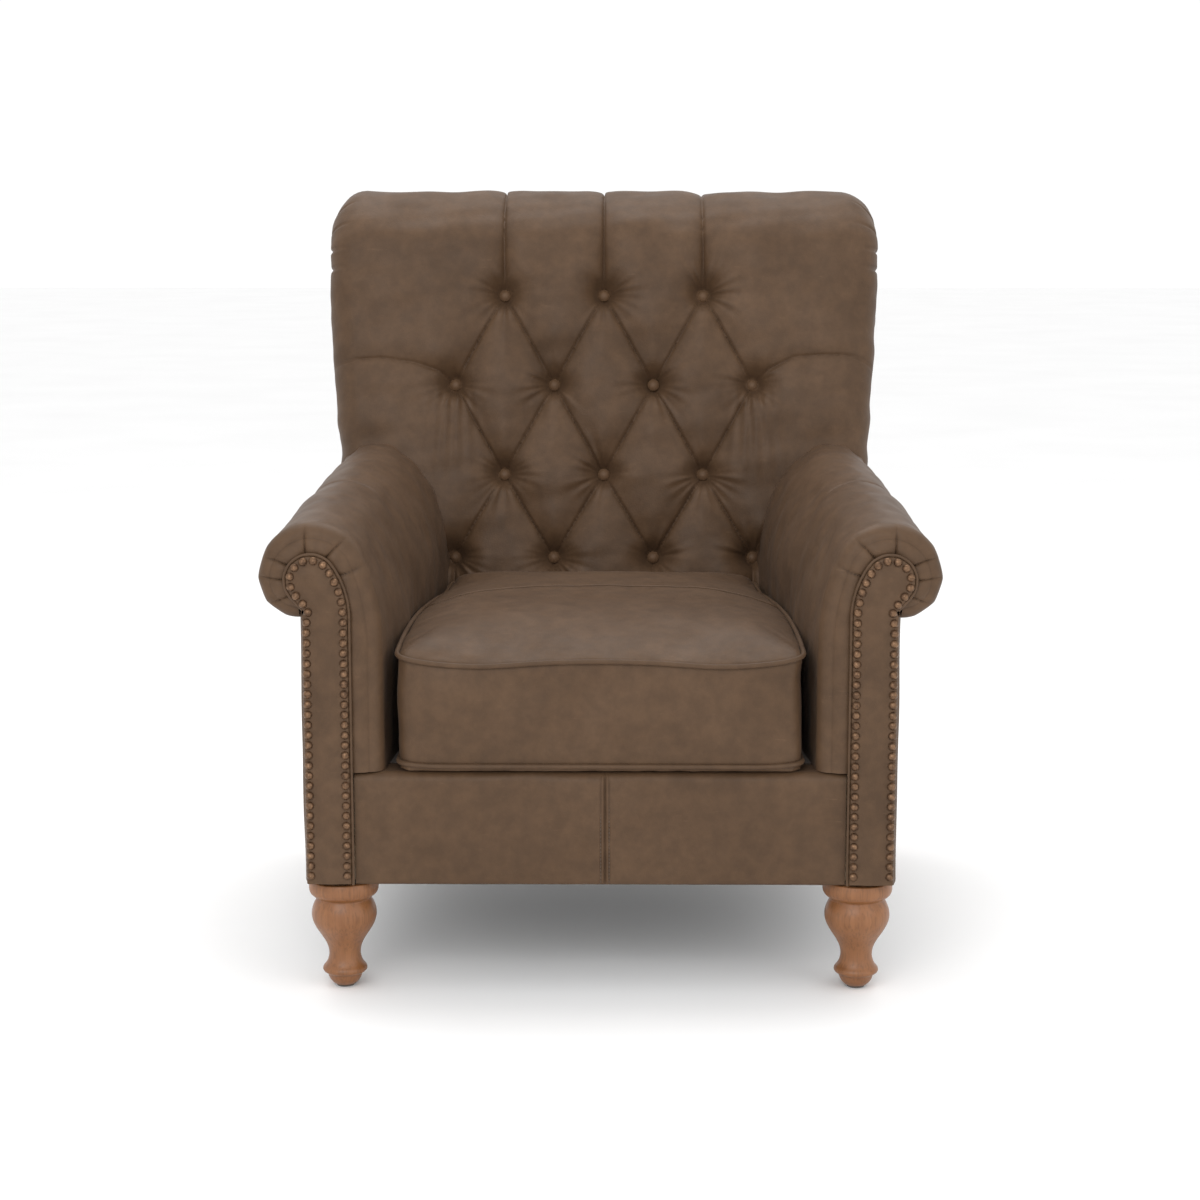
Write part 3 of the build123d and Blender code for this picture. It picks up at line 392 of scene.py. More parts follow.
CLOTHS = {
    "foam": plain("foam", (0.74, 0.68, 0.50), (0.86, 0.80, 0.62), 0.9),
    "wadding": woven("wadding", (0.75, 0.74, 0.70), (0.90, 0.89, 0.86), 300.0),
    "webbing": woven("webbing", (0.05, 0.05, 0.05), (0.13, 0.13, 0.13)),
    "twine": woven("twine", (0.62, 0.57, 0.46), (0.82, 0.78, 0.66)),
    "dust_cloth": woven("dust_cloth", (0.018, 0.018, 0.018), (0.045, 0.045, 0.045)),
    "glide_nylon": plain("glide_nylon", (0.07, 0.055, 0.045), (0.13, 0.11, 0.09), 0.45),
    "zip_tape": woven("zip_tape", (0.05, 0.034, 0.024), (0.10, 0.068, 0.048)),
}
BY_SLOT = {
    "hide": HIDE,
    "piping_hide": PIPING,
    "leg_wood": LEG_WOOD,
    "frame_wood": FRAME_WOOD,
    "nail_brass": NAIL_BRASS,
    "zip_metal": ZIP_METAL,
    "spring_steel": STEEL,
    "hardware_steel": ZINC,
    **CLOTHS,
}
DECK_CLOTH = woven("deck_cloth", (0.045, 0.028, 0.018), (0.075, 0.048, 0.031), 420.0)
BY_NODE = {"seat_deck": DECK_CLOTH, "back_buttons": LIT_BUTTON_HIDE}
for row in frame["record"]["subparts"]:
    node = frame["nodes"][row["node"]]
    node.data.materials.clear()
    node.data.materials.append(BY_NODE.get(row["node"], BY_SLOT[row["material_slot"]]))
    node.data.polygons.foreach_set("use_smooth", np.ones(len(node.data.polygons), bool))


# ---------------------------------------------------------------- buttoned back
FLOOR_OF_BACK = 0.272  # where the inside back starts, under the cushion
BUTTON_DROPS = (0.143, 0.271, 0.399, 0.517)
BUTTON_PITCH = 0.144
BUTTON_DEPTH = 0.030
plane_end = (roll_z + ROLL_RADIUS * sin(RECLINE) - FLOOR_OF_BACK) / cos(RECLINE)
roll_turn = pi - RECLINE - ROLL_END
path_end = plane_end + ROLL_RADIUS * roll_turn


def up_the_back(z):
    """Distance up the inside back to height z."""
    return (z - FLOOR_OF_BACK) / cos(RECLINE)


rows = [up_the_back(back_high.z - drop) for drop in BUTTON_DROPS]
buttons = []
for row, height in enumerate(rows):
    count = 3 if row % 2 == 0 else 4
    buttons += [((i - (count - 1) / 2) * BUTTON_PITCH, height, row) for i in range(count)]


def back_path(b):
    """(y, z) and outward (y, z) of the back's surface at distance b up it and over the roll."""
    on_plane = b < plane_end
    z = FLOOR_OF_BACK + b * cos(RECLINE)
    turn = (b - plane_end) / ROLL_RADIUS
    angle = pi - RECLINE - turn
    y = np.where(on_plane, back_y(z), roll_y + ROLL_RADIUS * np.cos(angle))
    z = np.where(on_plane, z, roll_z + ROLL_RADIUS * np.sin(angle))
    out_y = np.where(on_plane, -cos(RECLINE), np.cos(angle))
    out_z = np.where(on_plane, sin(RECLINE), np.sin(angle))
    return y, z, out_y, out_z


def trench(x, b, route, middle, ends, width, power=2.4):
    """How deep a fold along a route pulls the surface in, and the signed side of the fold."""
    route = np.asarray(route, float)
    lengths = np.linalg.norm(np.diff(route, axis=0), axis=1)
    total, before = lengths.sum(), 0.0
    best = np.full(x.shape, 9.0)
    where, side = np.zeros(x.shape), np.zeros(x.shape)
    for (x0, b0), (x1, b1), length in zip(route[:-1], route[1:], lengths):
        dx, db = (x1 - x0) / length, (b1 - b0) / length
        along = np.clip((x - x0) * dx + (b - b0) * db, 0, length)
        off_x, off_b = x - x0 - along * dx, b - b0 - along * db
        t = np.hypot(off_x, off_b)
        nearer = t < best
        best = np.where(nearer, t, best)
        where = np.where(nearer, (before + along) / total, where)
        side = np.where(nearer, np.sign(off_b * abs(dx) - off_x * db * np.sign(dx + 1e-9)), side)
        before += length
    start_end = (2 * where - 1) ** 2
    if isinstance(ends, tuple):
        deep = np.where(where < 0.5, lerp(middle, ends[0], start_end), lerp(middle, ends[1], start_end))
    else:
        deep = lerp(middle, ends, start_end)
    return deep * (1 - np.clip(best / width, 0, 1)) ** power, best, side, where


def diagonal_folds():
    """Folds between each button and its neighbours in the next row."""
    for x0, b0, row0 in buttons:
        for x1, b1, row1 in buttons:
            if row1 == row0 + 1 and abs(abs(x1 - x0) - BUTTON_PITCH / 2) < 0.001:
                yield (x0, b0), (x1, b1)


# the two arched seams: places across the back, and the rise above the button row at each
ARCH_PLACES = (0.216, 0.238, 0.274, 0.318, 0.352, 0.395)
ARCHES = (
    (-1, (0.0, 0.018, 0.030, 0.036, 0.034, 0.024)),
    (1, (0.0, 0.020, 0.038, 0.041, 0.040, 0.022)),
)


def tufting(x, b):
    """Height of the buttoned leather above the back's plain surface."""
    depth_sum = np.zeros(x.shape)
    ledge, crease = np.zeros(x.shape), np.zeros(x.shape)
    power = 3.0
    for start, end in diagonal_folds():
        deep, t, side, where = trench(x, b, (start, end), 0.0140, 0.0235, 0.052, 2.2)
        depth_sum += deep**power
        reach = np.sin(pi * np.clip(where, 0, 1)) ** 0.5
        ledge += reach * np.where(side > 0, 0.0034 * np.exp(-t / 0.007), -0.0010 * np.exp(-t / 0.003))
        crease += reach * 0.0030 * np.exp(-t / 0.0016)
    # folds from the top row up over the roll
    for x0, b0, row in buttons:
        if row == 0:
            route = ((x0, b0), (x0, b0 + 0.09), (x0, path_end))
            deep, t, _, where = trench(x, b, route, 0.0044, (0.0240, 0.0034), 0.034, 2.4)
            depth_sum += deep**power
            crease += 0.0034 * np.exp(-t / 0.0016) * smooth(where * 12)
            ledge += 0.0024 * np.where(x > x0, np.exp(-t / 0.008), 0) * smooth(where * 8)
        if row == 3:
            deep, t, _, _ = trench(x, b, ((x0, b0), (x0, 0.0)), 0.012, (0.0235, 0.010), 0.050)
            depth_sum += deep**power
            crease += 0.0030 * np.exp(-t / 0.0016)
    # seams that arch from the outer buttons of the second row to the sides
    for side_sign, arch in ARCHES:
        route = [(side_sign * xi, rows[1] + rise) for xi, rise in zip(ARCH_PLACES, arch)]
        deep, t, side, _ = trench(x, b, route, 0.0045, (0.022, 0.0030), 0.034, 2.6)
        depth_sum += deep**power
        crease += 0.0024 * np.exp(-t / 0.0016)
        ledge += 0.0014 * np.where(side > 0, np.exp(-t / 0.006), 0)
    # pits round the buttons, with folds that run into them
    wrinkles = np.zeros(x.shape)
    for index, (x0, b0, row) in enumerate(buttons):
        rng = np.random.default_rng(40 + index)
        off_x, off_b = x - x0, b - b0
        r = np.hypot(off_x, off_b)
        angle = np.arctan2(off_b, off_x)
        pit = (BUTTON_DEPTH + 0.002) * (1 - np.clip((r - 0.0098) / 0.046, 0, 1)) ** 2.5
        depth_sum += pit**power
        spokes = sum(
            np.sin(k * angle + rng.uniform(0, 2 * pi)) * rng.uniform(0.4, 1.0) for k in (5, 9, 14, 21)
        )
        some = 0.45 + 0.6 * np.sin(angle + rng.uniform(0, 2 * pi)) + 0.4 * np.sin(3 * angle + index)
        reach = bell(r - 0.021, 0.013) + 0.75 * bell(r - 0.042, 0.020)
        wrinkles += 0.00070 * spokes * reach * np.clip(some, 0, 1.3)
    # the leather hangs in soft upright creases under the second row's outer buttons
    for x0, b0, row in buttons:
        if abs(x0) > 0.2 and row == 1:
            fall = smooth((b0 - b) / 0.02) * (1 - smooth((b0 - b - 0.06) / 0.10))
            fan = (x - x0) / (1 + 4.0 * np.clip(b0 - b, 0, 1))
            wrinkles += 0.0014 * np.sin(fan * 2 * pi / 0.013) * bell(fan, 0.026) * fall
    pillow = lerp(0.0068, 0.0006, smooth((b - plane_end + 0.03) / 0.10))
    return pillow - depth_sum ** (1 / power) - crease + ledge + wrinkles


def back_half_width(z, over):
    """Half the back's width at height z; over is how far round the roll, 0 to 1."""
    shoulder = lerp(0.3615, 0.381, smooth((z - 0.548) / 0.022))
    return shoulder - 0.001 + 0.0155 * smooth((z - 0.60) / 0.27) - 0.003 * over


def make_back():
    """The inside back in one leather, from under the cushion, round its edges and over the roll."""
    b = np.concatenate([np.linspace(0, 0.18, 60)[:-1], np.linspace(0.18, path_end, 560)])
    across = np.linspace(-1, 1, 441)
    y, z, out_y, out_z = back_path(b)
    over = np.clip((b - plane_end) / (ROLL_RADIUS * roll_turn), 0, 1)
    half = back_half_width(z, over)
    soft = lerp(0.022, 0.040, smooth((z - 0.55) / 0.05)) + 0.010 * smooth(over * 5)
    # the line that the sides run in to: up the outside back, then to the roll's eye
    low_part = np.clip(b / (plane_end - 0.13), 0, 1)
    eye_part = smooth((b - plane_end + 0.13) / 0.13)
    tail_z = roll_z + ROLL_RADIUS * sin(ROLL_END) - 0.002
    in_z = lerp(FLOOR_OF_BACK, tail_z, low_part)
    in_y = rear_y(in_z) - 0.004
    in_z, in_y = lerp(in_z, roll_z, eye_part), lerp(in_y, roll_y, eye_part)
    under_cap = np.where(b < plane_end, np.sin(pi * eye_part), 0)
    in_y += 0.012 * under_cap
    corner = np.linspace(0, pi / 2, 13)[1:]
    side_steps = np.linspace(0, 1, 16)[1:]
    folds = np.zeros(len(b))
    for k in range(9):
        centre = plane_end - 0.030 + k * 0.036 + 0.009 * sin(5.0 * k)
        folds += bell(b - centre, 0.0030) * (0.70 + 0.30 * sin(3.0 * k))

    def noise_at(places):
        return 0.0011 * ripple(places, 0.11, 5) + 0.0004 * ripple(places, 0.035, 6)

    def side_columns(sign):
        made = []
        for angle in corner:
            x = half - soft + soft * sin(angle)
            drop = soft * (1 - cos(angle))
            at = spaced(sign * x, y - out_y * drop, z - out_z * drop)
            out = spaced(sign * sin(angle), out_y * cos(angle), out_z * cos(angle))
            lift = tufting(sign * (half - soft + soft * angle), b) * cos(angle) + 0.0035 * sin(angle)
            lift = lift - 0.0042 * folds * smooth(angle / (pi / 2) * 1.4 - 0.15)
            made.append(at + out * (lift + noise_at(at))[:, None])
        edge_y, edge_z = y - out_y * soft, z - out_z * soft
        for t in side_steps:
            bulge = 0.0035 * (1 - t) ** 1.5 + 0.004 * np.sin(pi * t) - 0.010 * t * eye_part
            bulge = bulge - 0.004 * under_cap * t**3
            at = spaced(sign * (half + bulge), lerp(edge_y, in_y, t), lerp(edge_z, in_z, t))
            at[:, 0] += sign * (noise_at(at) - 0.0042 * folds * (1 - t) ** 0.6)
            made.append(at)
        return made

    middle = []
    for s in across:
        x = s * (half - soft)
        at = spaced(x, y, z)
        out = spaced(0.0, out_y, out_z)
        middle.append(at + out * (tufting(x, b) + noise_at(at))[:, None])
    grid = np.stack(side_columns(-1)[::-1] + middle + side_columns(1), axis=1)
    piece = grid_piece("buttoned_back", grid, CHAIR, HIDE, flip=True)
    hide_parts("back_cover", "back_foam")


# ---------------------------------------------------------------- arms
ARM_INNER = (0.268, 0.222)
ARM_BEND = (0.440, 0.480)
SCROLL_X = (0.352, 0.326)
SCROLL_Z = (0.525, 0.571)
SCROLL_RADIUS = (0.0675, 0.060)
TUCK_RADIUS = (0.050, 0.045)
EDGE_RADIUS = 0.017  # rounded front edge of the arm
FACING_INNER = 0.304
FACING_HEAD = 0.034
FACING_NECK = 0.480
HEAD_END = radians(-38)  # where the facing's head turns in to its throat
PANEL_TOP_FRONT = 0.4747  # the outside arm's top at the arm front
FOOT_STEPS, BEND_STEPS, HEAD_STEPS, TUCK_STEPS = 50, 50, 190, 60
WELT_ROOM = 0.0035  # between the facing's edge and its leather, for the welt
UNDER_STEPS = 37  # the part of TUCK_STEPS that the facing's head takes


def arc(cx, cz, radius, start, end, count):
    """(x, z) and outward (x, z) of points round a circle."""
    a = np.linspace(start, end, count)
    return spaced(cx + radius * np.cos(a), cz + radius * np.sin(a), np.cos(a), np.sin(a))


def wrap_section(t):
    """(x, z) and outward (x, z) round the arm, inner foot to outer tuck, at t along the arm."""
    inner, bend, cx, cz, radius, tuck = (
        lerp(*pair, t) for pair in (ARM_INNER, ARM_BEND, SCROLL_X, SCROLL_Z, SCROLL_RADIUS, TUCK_RADIUS)
    )
    reach, rise = cx - inner, cz - bend
    bend_radius = (reach**2 + rise**2 - radius**2) / (2 * (reach - radius))
    tangent = atan2(rise, reach - bend_radius)
    tuck_x = cx + radius - tuck
    end = np.arccos((body_half + 0.0003 - tuck_x) / tuck)
    foot = np.linspace(arm_bottom, bend, FOOT_STEPS)[:-1]
    parts = [
        spaced(inner, foot, -1.0, 0.0),
        arc(inner + bend_radius, bend, bend_radius, pi, tangent, BEND_STEPS)[:-1],
        arc(cx, cz, radius, tangent, 0, HEAD_STEPS)[:-1],
        arc(tuck_x, cz, tuck, 0, -end, TUCK_STEPS),
    ]
    return np.concatenate(parts)


def facing_section(inset):
    """(x, z) along the facing's edge, matched point for point to wrap_section."""
    reach, rise = SCROLL_X[0] - FACING_INNER, SCROLL_Z[0] - FACING_NECK
    bend = (reach**2 + rise**2 - FACING_HEAD**2) / (2 * (reach - FACING_HEAD))
    turn = atan2(rise, reach - bend)
    centre, head = (SCROLL_X[0], SCROLL_Z[0]), FACING_HEAD - inset
    foot = np.linspace(arm_bottom, FACING_NECK, FOOT_STEPS)[:-1]
    under = arc(*centre, head, 0, HEAD_END, UNDER_STEPS)[:, :2]
    throat = np.array([body_half - inset - 0.003, PANEL_TOP_FRONT + 0.012])
    parts = [
        spaced(FACING_INNER + inset, foot),
        arc(FACING_INNER + bend, FACING_NECK, bend - inset, pi, turn, BEND_STEPS)[:-1, :2],
        arc(*centre, head, turn, 0, HEAD_STEPS)[:-1, :2],
        under[:-1],
        lerp(under[-1], throat, np.linspace(0, 1, TUCK_STEPS + 1 - UNDER_STEPS)[:, None]),
    ]
    return np.concatenate(parts)


PLEATS = (172, 123, 79, 34, 0, -37)  # degrees round the scroll from its outer side
PLEAT_BENDS = (-6, 7, 4, -9, 3, 8)


def pleat_depth(x, z):
    """How far the pleats pull in the front of the scroll."""
    depth = np.zeros(x.shape)
    for degree, bend in zip(PLEATS, PLEAT_BENDS):
        a0, a1 = radians(degree), radians(degree + bend)
        route = [
            (SCROLL_X[0] + r * cos(lerp(a0, a1, k)), SCROLL_Z[0] + r * sin(lerp(a0, a1, k)))
            for k, r in ((0, 0.030), (0.5, 0.047), (1, 0.064))
        ]
        deep, t, side, where = trench(x, z, route, 0.0022, (0.0034, 0.0010), 0.010, 2.2)
        depth += deep + 0.0030 * np.exp(-t / 0.0012) * (1 - 0.6 * where)
        depth -= 0.0014 * np.where(side > 0, np.exp(-t / 0.004), 0) * (1 - where)
    return depth


def chords(angle):
    """The leather runs straight from pleat to pleat round the scroll's outer side."""
    stops = [radians(d) for d in (-72, -37, 0, 34)]
    flat = np.zeros(angle.shape)
    for a0, a1 in zip(stops[:-1], stops[1:]):
        t = np.clip((angle - a0) / (a1 - a0), 0, 1)
        flat += 0.45 * SCROLL_RADIUS[0] * (1 - cos((a1 - a0) / 2)) * np.sin(pi * t) ** 1.2
    return flat


def make_arm(side, sign):
    """An arm's leather: pleated front, rounded edge and the roll back to the inside back."""
    edge = facing_section(0.006)
    front = wrap_section(0.0)
    spread = np.linspace(0, 1, 26)[:, None]
    rim = front[:, :2] - front[:, 2:] * EDGE_RADIUS
    band_x, band_z = lerp(edge.T[:, None], rim.T[:, None], spread)
    span = np.hypot(*(rim - edge).T)[None]
    puff = 0.0045 * np.sin(pi * np.clip(spread, 0, 1) ** 0.8) ** 0.7 * np.clip(span / 0.02, 0, 1)
    band_y = arm_front - puff + pleat_depth(band_x, band_z)
    band = spaced(band_x, band_y, band_z)
    band[..., 1] += 0.0005 * ripple(band, 0.05, 21)
    rows_made = [band]
    # rounded front edge
    for angle in np.linspace(0, pi / 2, 12)[1:]:
        inset = EDGE_RADIUS * (1 - sin(angle))
        y = arm_front + EDGE_RADIUS * (1 - cos(angle))
        section = wrap_section((y - arm_front) / ARM_LENGTH)
        inset = inset + chords(np.arctan2(section[:, 3], section[:, 2])) * sin(angle)
        x = section[:, 0] - section[:, 2] * inset
        z = section[:, 1] - section[:, 3] * inset
        pulled = pleat_depth(x, z) * cos(angle)
        rows_made.append(spaced(x, y + pulled, z)[None])
    # along the arm, finer near the front
    start, end = arm_front + EDGE_RADIUS, arm_front + ARM_LENGTH + 0.045
    for t in np.linspace(0, 1, 190)[1:]:
        y = lerp(start, end, t)
        section = wrap_section((y - arm_front) / ARM_LENGTH)
        x, z, out_x, out_z = section.T
        at = spaced(x, y, z)
        angle = np.arctan2(out_z, out_x)
        lift = 0.0012 * ripple(at, 0.16, 22) + 0.0004 * ripple(at, 0.045, 23)
        # creases where the leather turns down the inside, and pulls at the back
        inner = smooth((angle - 1.9) / 0.5)
        lift += 0.0005 * inner * ripple(at * np.array([1, 0.8, 0.45]), 0.042, 24)
        rear = smooth((t - 0.80) / 0.2)
        lift += 0.0016 * rear * ripple(at * np.array([1, 0.4, 1]), 0.028, 25)
        # a joining seam across the roll
        seam = bell(y - (arm_front + ARM_SEAM + 0.02 * np.cos(angle)), 0.0026)
        lift -= 0.0020 * seam * smooth((2.4 - angle) / 0.3)
        lift *= smooth((z - arm_bottom) / 0.02)
        lift -= chords(angle) * bell(y - start, 0.030) * smooth((y - start + 0.02) / 0.02)
        rows_made.append(spaced(x + out_x * lift, y, z + out_z * lift)[None])
    grid = on_side(np.concatenate(rows_made), sign)
    piece = grid_piece(f"arm_leather_{side}", grid, CHAIR, HIDE, flip=sign < 0)
    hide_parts(f"arm_cover_{side}", f"arm_pad_{side}")


BOARD_INSET = 0.020  # clear of the rounded leather edge
BOARD_DEPTH = (0.0078, 0.0200)  # behind the leather's front


def make_scroll_board(side, sign):
    """The wooden board inside the scroll, which the arm's leather is pulled over."""
    section = wrap_section(0.0)
    edge = section[:, :2] - section[:, 2:] * BOARD_INSET
    edge = edge[edge[:, 0] < body_half - 0.001]
    spine = spaced(SCROLL_X[0] - 0.03, np.minimum(edge[:, 1], SCROLL_Z[0]))
    near, far = (arm_front + d for d in BOARD_DEPTH)
    rings = []
    for t, y in ((1, near), (0.5, near), (0, near), (0, far), (0.5, far), (1, far)):
        line = lerp(edge, spine, t)
        rings.append(spaced(line[:, 0], y, line[:, 1]))
    grid = on_side(np.stack(rings), sign)
    piece = grid_piece(f"scroll_board_wood_{side}", grid, CHAIR, FRAME_WOOD, flip=sign > 0)
    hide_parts(f"scroll_board_{side}")


# ---------------------------------------------------------------- panels
def soft_panel(name, corners, columns, lines, out, bulge, replaced, seed, widths=None):
    """A leather panel over board between four corners, puffed along out and turned in at its edges."""
    border = 0.010
    u = np.linspace(0, 1, columns)[None, :, None]
    v = np.linspace(0, 1, lines)[:, None, None]
    low_left, low_right, high_right, high_left = (np.array(c, float) for c in corners)
    flat = lerp(lerp(low_left, low_right, u), lerp(high_left, high_right, u), v)
    if widths is not None:
        flat[..., 0] *= widths(flat[..., 2]) / body_half
    width = np.linalg.norm(low_right - low_left)
    height = np.linalg.norm(high_left - low_left)
    edge = np.minimum(np.minimum(u, 1 - u) * width, np.minimum(v, 1 - v) * height)[..., 0]
    turn = np.sqrt(1 - (1 - np.clip(edge / border, 0, 1)) ** 2)
    soft = np.sqrt(np.clip(edge / (0.5 * min(width, height)), 0, 1))
    lift = -0.0028 * (1 - turn) + bulge * soft + 0.0007 * ripple(flat, 0.14, seed) * turn
    grid = flat + np.array(out, float) * lift[..., None]
    piece = grid_piece(name, grid, CHAIR, HIDE, flip=out[0] < -0.5)
    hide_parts(replaced)


PANEL_TUCK = 0.013  # how far the outside arms' tops run up inside the rolls
PANEL_SLOPE = 0.101  # rise of those tops towards the rear
BACK_TUCK = 0.028  # how far the outside back's top runs up inside the back's roll
SIDE_WELT_RADIUS = 0.0026


def make_outside_panels():
    """Outside arms and outside back."""
    rear_low = rear_y(base_z)
    front_top = PANEL_TOP_FRONT + PANEL_TUCK
    rear_top = front_top + PANEL_SLOPE * (rear_y(panel_high.z) - arm_front)
    for side, sign in (("right", 1), ("left", -1)):
        x = sign * (body_half + 0.0002)
        corners = [
            (x, arm_front, base_z),
            (x, rear_low - 0.003, base_z),
            (x, rear_y(rear_top) - 0.003, rear_top),
            (x, arm_front, front_top),
        ]
        name = f"outside_arm_leather_{side}"
        soft_panel(name, corners, 150, 80, (sign, 0, 0), 0.0022, f"outside_arm_{side}", 31)
    top = outside_high.z + BACK_TUCK

    def half_width(z):
        above = back_half_width(z, 0) + 0.0015 - 0.0050 * smooth((z - outside_high.z + 0.01) / 0.02)
        return np.maximum(body_half, above)

    corners = [
        (-body_half, rear_low, base_z),
        (body_half, rear_low, base_z),
        (body_half, rear_y(top), top),
        (-body_half, rear_y(top), top),
    ]
    out = (0, cos(REAR_LEAN), -sin(REAR_LEAN))
    soft_panel("outside_back_leather", corners, 160, 170, out, 0.005, "outside_back", 33, half_width)
    for sign, side in ((-1, "left"), (1, "right")):
        edge = [(sign * half_width(z), rear_y(z) - 0.001, z) for z in np.linspace(base_z, top - 0.020, 90)]
        welt = tube(f"outside_back_welt_{side}", edge, SIDE_WELT_RADIUS, CHAIR, PIPING)


SEAM_X = 0.006  # the border's joining seam
STITCH_OFFSET = 0.0052  # each row of stitches from the seam
STITCH_PITCH = 0.0048
BORDER_BELLY = 0.0022


def make_front_border():
    """The border below the cushion, joined in the middle by a double-stitched seam."""
    half = border_high.x + 0.0015
    x = np.concatenate(
        [
            np.linspace(-half, SEAM_X - 0.02, 120)[:-1],
            np.linspace(SEAM_X - 0.02, SEAM_X + 0.02, 41)[:-1],
            np.linspace(SEAM_X + 0.02, half, 120),
        ]
    )
    lip = 0.012
    low, high = border_low.z, border_high.z
    profile = [(border_low.y + 0.004, low, 0.3), (border_low.y + 0.001, low + 0.002, 0.8)]
    profile += [(border_low.y, z, 1.0) for z in np.linspace(low + 0.005, high - lip, 44)]
    for angle in np.linspace(0, pi / 2, 9)[1:]:
        profile.append((border_low.y + lip * (1 - cos(angle)), high - lip + lip * sin(angle), cos(angle)))
    profile += [(border_low.y + lip + s, high, 0.0) for s in np.linspace(0.003, 0.036, 8)]
    profile = np.array(profile)
    y, z, weight = profile.T[:, :, None]
    at = spaced(x, y, z)
    upright = np.sin(pi * np.clip((z - low) / (high - low), 0, 1))
    belly = BORDER_BELLY * upright * smooth((half - abs(at[..., 0])) / 0.05)
    off = at[..., 0] - SEAM_X
    seam = 0.0026 * bell(off, 0.0016) + 0.0012 * bell(abs(off) - STITCH_OFFSET, 0.0012)
    ridge = -0.0008 * bell(abs(off) - 0.0028, 0.0015)
    ruffle = 0.0007 * ripple(at, 0.10, 41) + 0.00035 * bell(abs(off), 0.025) * ripple(at, 0.02, 42)
    at[..., 1] += weight * (seam + ridge - belly - ruffle)
    piece = grid_piece("front_border_leather", at, CHAIR, HIDE)
    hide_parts("front_border")
    # two rows of short stitches beside the seam
    rows_made = []
    for offset in (-STITCH_OFFSET, STITCH_OFFSET):
        for k in range(int((high - lip - low - 0.004) / STITCH_PITCH)):
            z0 = low + 0.005 + k * STITCH_PITCH
            surface = np.sin(pi * (z0 - low) / (high - low)) * BORDER_BELLY
            rows_made.append((SEAM_X + offset, border_low.y - surface + 0.0006, z0))
    stitches("border_stitches", rows_made, (0, 0, 1))


def stitches(name, places, direction, length=0.0034, radius=0.00045):
    """Short rounded stitches at each place, all running one way."""
    direction = np.array(direction, float)
    side = np.cross(direction, (0.3, 0.8, 0.5))
    side /= np.linalg.norm(side)
    over = np.cross(direction, side)
    angle = np.arange(6) * pi / 3
    points, quads = [], []
    for k, place in enumerate(places):
        for t, r in ((-0.5, 0.35), (-0.3, 1.0), (0.3, 1.0), (0.5, 0.35)):
            ring = side[None] * np.cos(angle)[:, None] + over[None] * np.sin(angle)[:, None]
            points.append(np.array(place) + direction * length * t + radius * r * ring)
        quads.append(grid_quads(4, 6, closed=True, start=24 * k))
    piece = mesh_piece(name, np.concatenate(points), np.concatenate(quads), CHAIR, THREAD)


# ---------------------------------------------------------------- facings and their trim
def make_facing(side, sign):
    """A facing's leather, slightly crowned over its board."""
    welted = facing_section(WELT_ROOM)
    low = facing_low.z - 0.001
    foot = np.linspace(low, arm_bottom, 30)[:-1]
    inner_line = np.concatenate([spaced(FACING_INNER + WELT_ROOM, foot), welted])
    # the outer line runs up the side and meets the head's end
    throat = inner_line[-1]
    outer_line = spaced(body_half - WELT_ROOM, np.linspace(low, throat[1], 60))
    # every point on the edge is drawn in to the facing's spine
    spine_x = lerp(FACING_INNER, body_half, 0.5)
    edge = np.concatenate([inner_line, outer_line[::-1][1:]])
    top = SCROLL_Z[0] + 0.004
    lean = lerp(spine_x, SCROLL_X[0], smooth((edge[:, 1] - 0.47) / 0.05))
    spine = spaced(np.where(edge[:, 1] < 0.50, spine_x, lean), np.minimum(edge[:, 1], top))
    steps = np.concatenate([[0, 0.0], np.linspace(0, 1, 26)[1:]])
    rings = []
    for index, t in enumerate(steps):
        line = lerp(edge, spine, t)
        gap = np.hypot(*(line - edge).T)
        turn = np.sqrt(1 - (1 - np.clip(gap / 0.004, 0, 1)) ** 2)
        y = facing_low.y + 0.0003 + 0.0035 * (1 - turn) - 0.0010 * smooth((gap - 0.012) / 0.01)
        if index == 0:
            y = 0 * y + facing_high.y
        at = spaced(line[:, 0], y, line[:, 1])
        at[:, 1] += 0.0003 * ripple(at, 0.03, 51) * turn
        rings.append(at)
    grid = on_side(np.stack(rings), sign)
    piece = grid_piece(f"facing_leather_{side}", grid, CHAIR, HIDE, flip=sign > 0)
    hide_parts(f"arm_facing_{side}")


# ---------------------------------------------------------------- seat cushion
CUSHION_FRONT_HALF = 0.2505
CUSHION_REAR_HALF = 0.213
CUSHION_GAP = 0.007
CORNER = 0.026
DRAWN_IN = 0.0012  # the unswollen leather inside the cushion's outline
PIPING_RADIUS = 0.0032
VOXEL = 0.0055
SWELL_FRAMES = 20
cushion_front = boxing_low.y
seam_low, seam_high = boxing_low.z + 0.0058, boxing_high.z + 0.0008


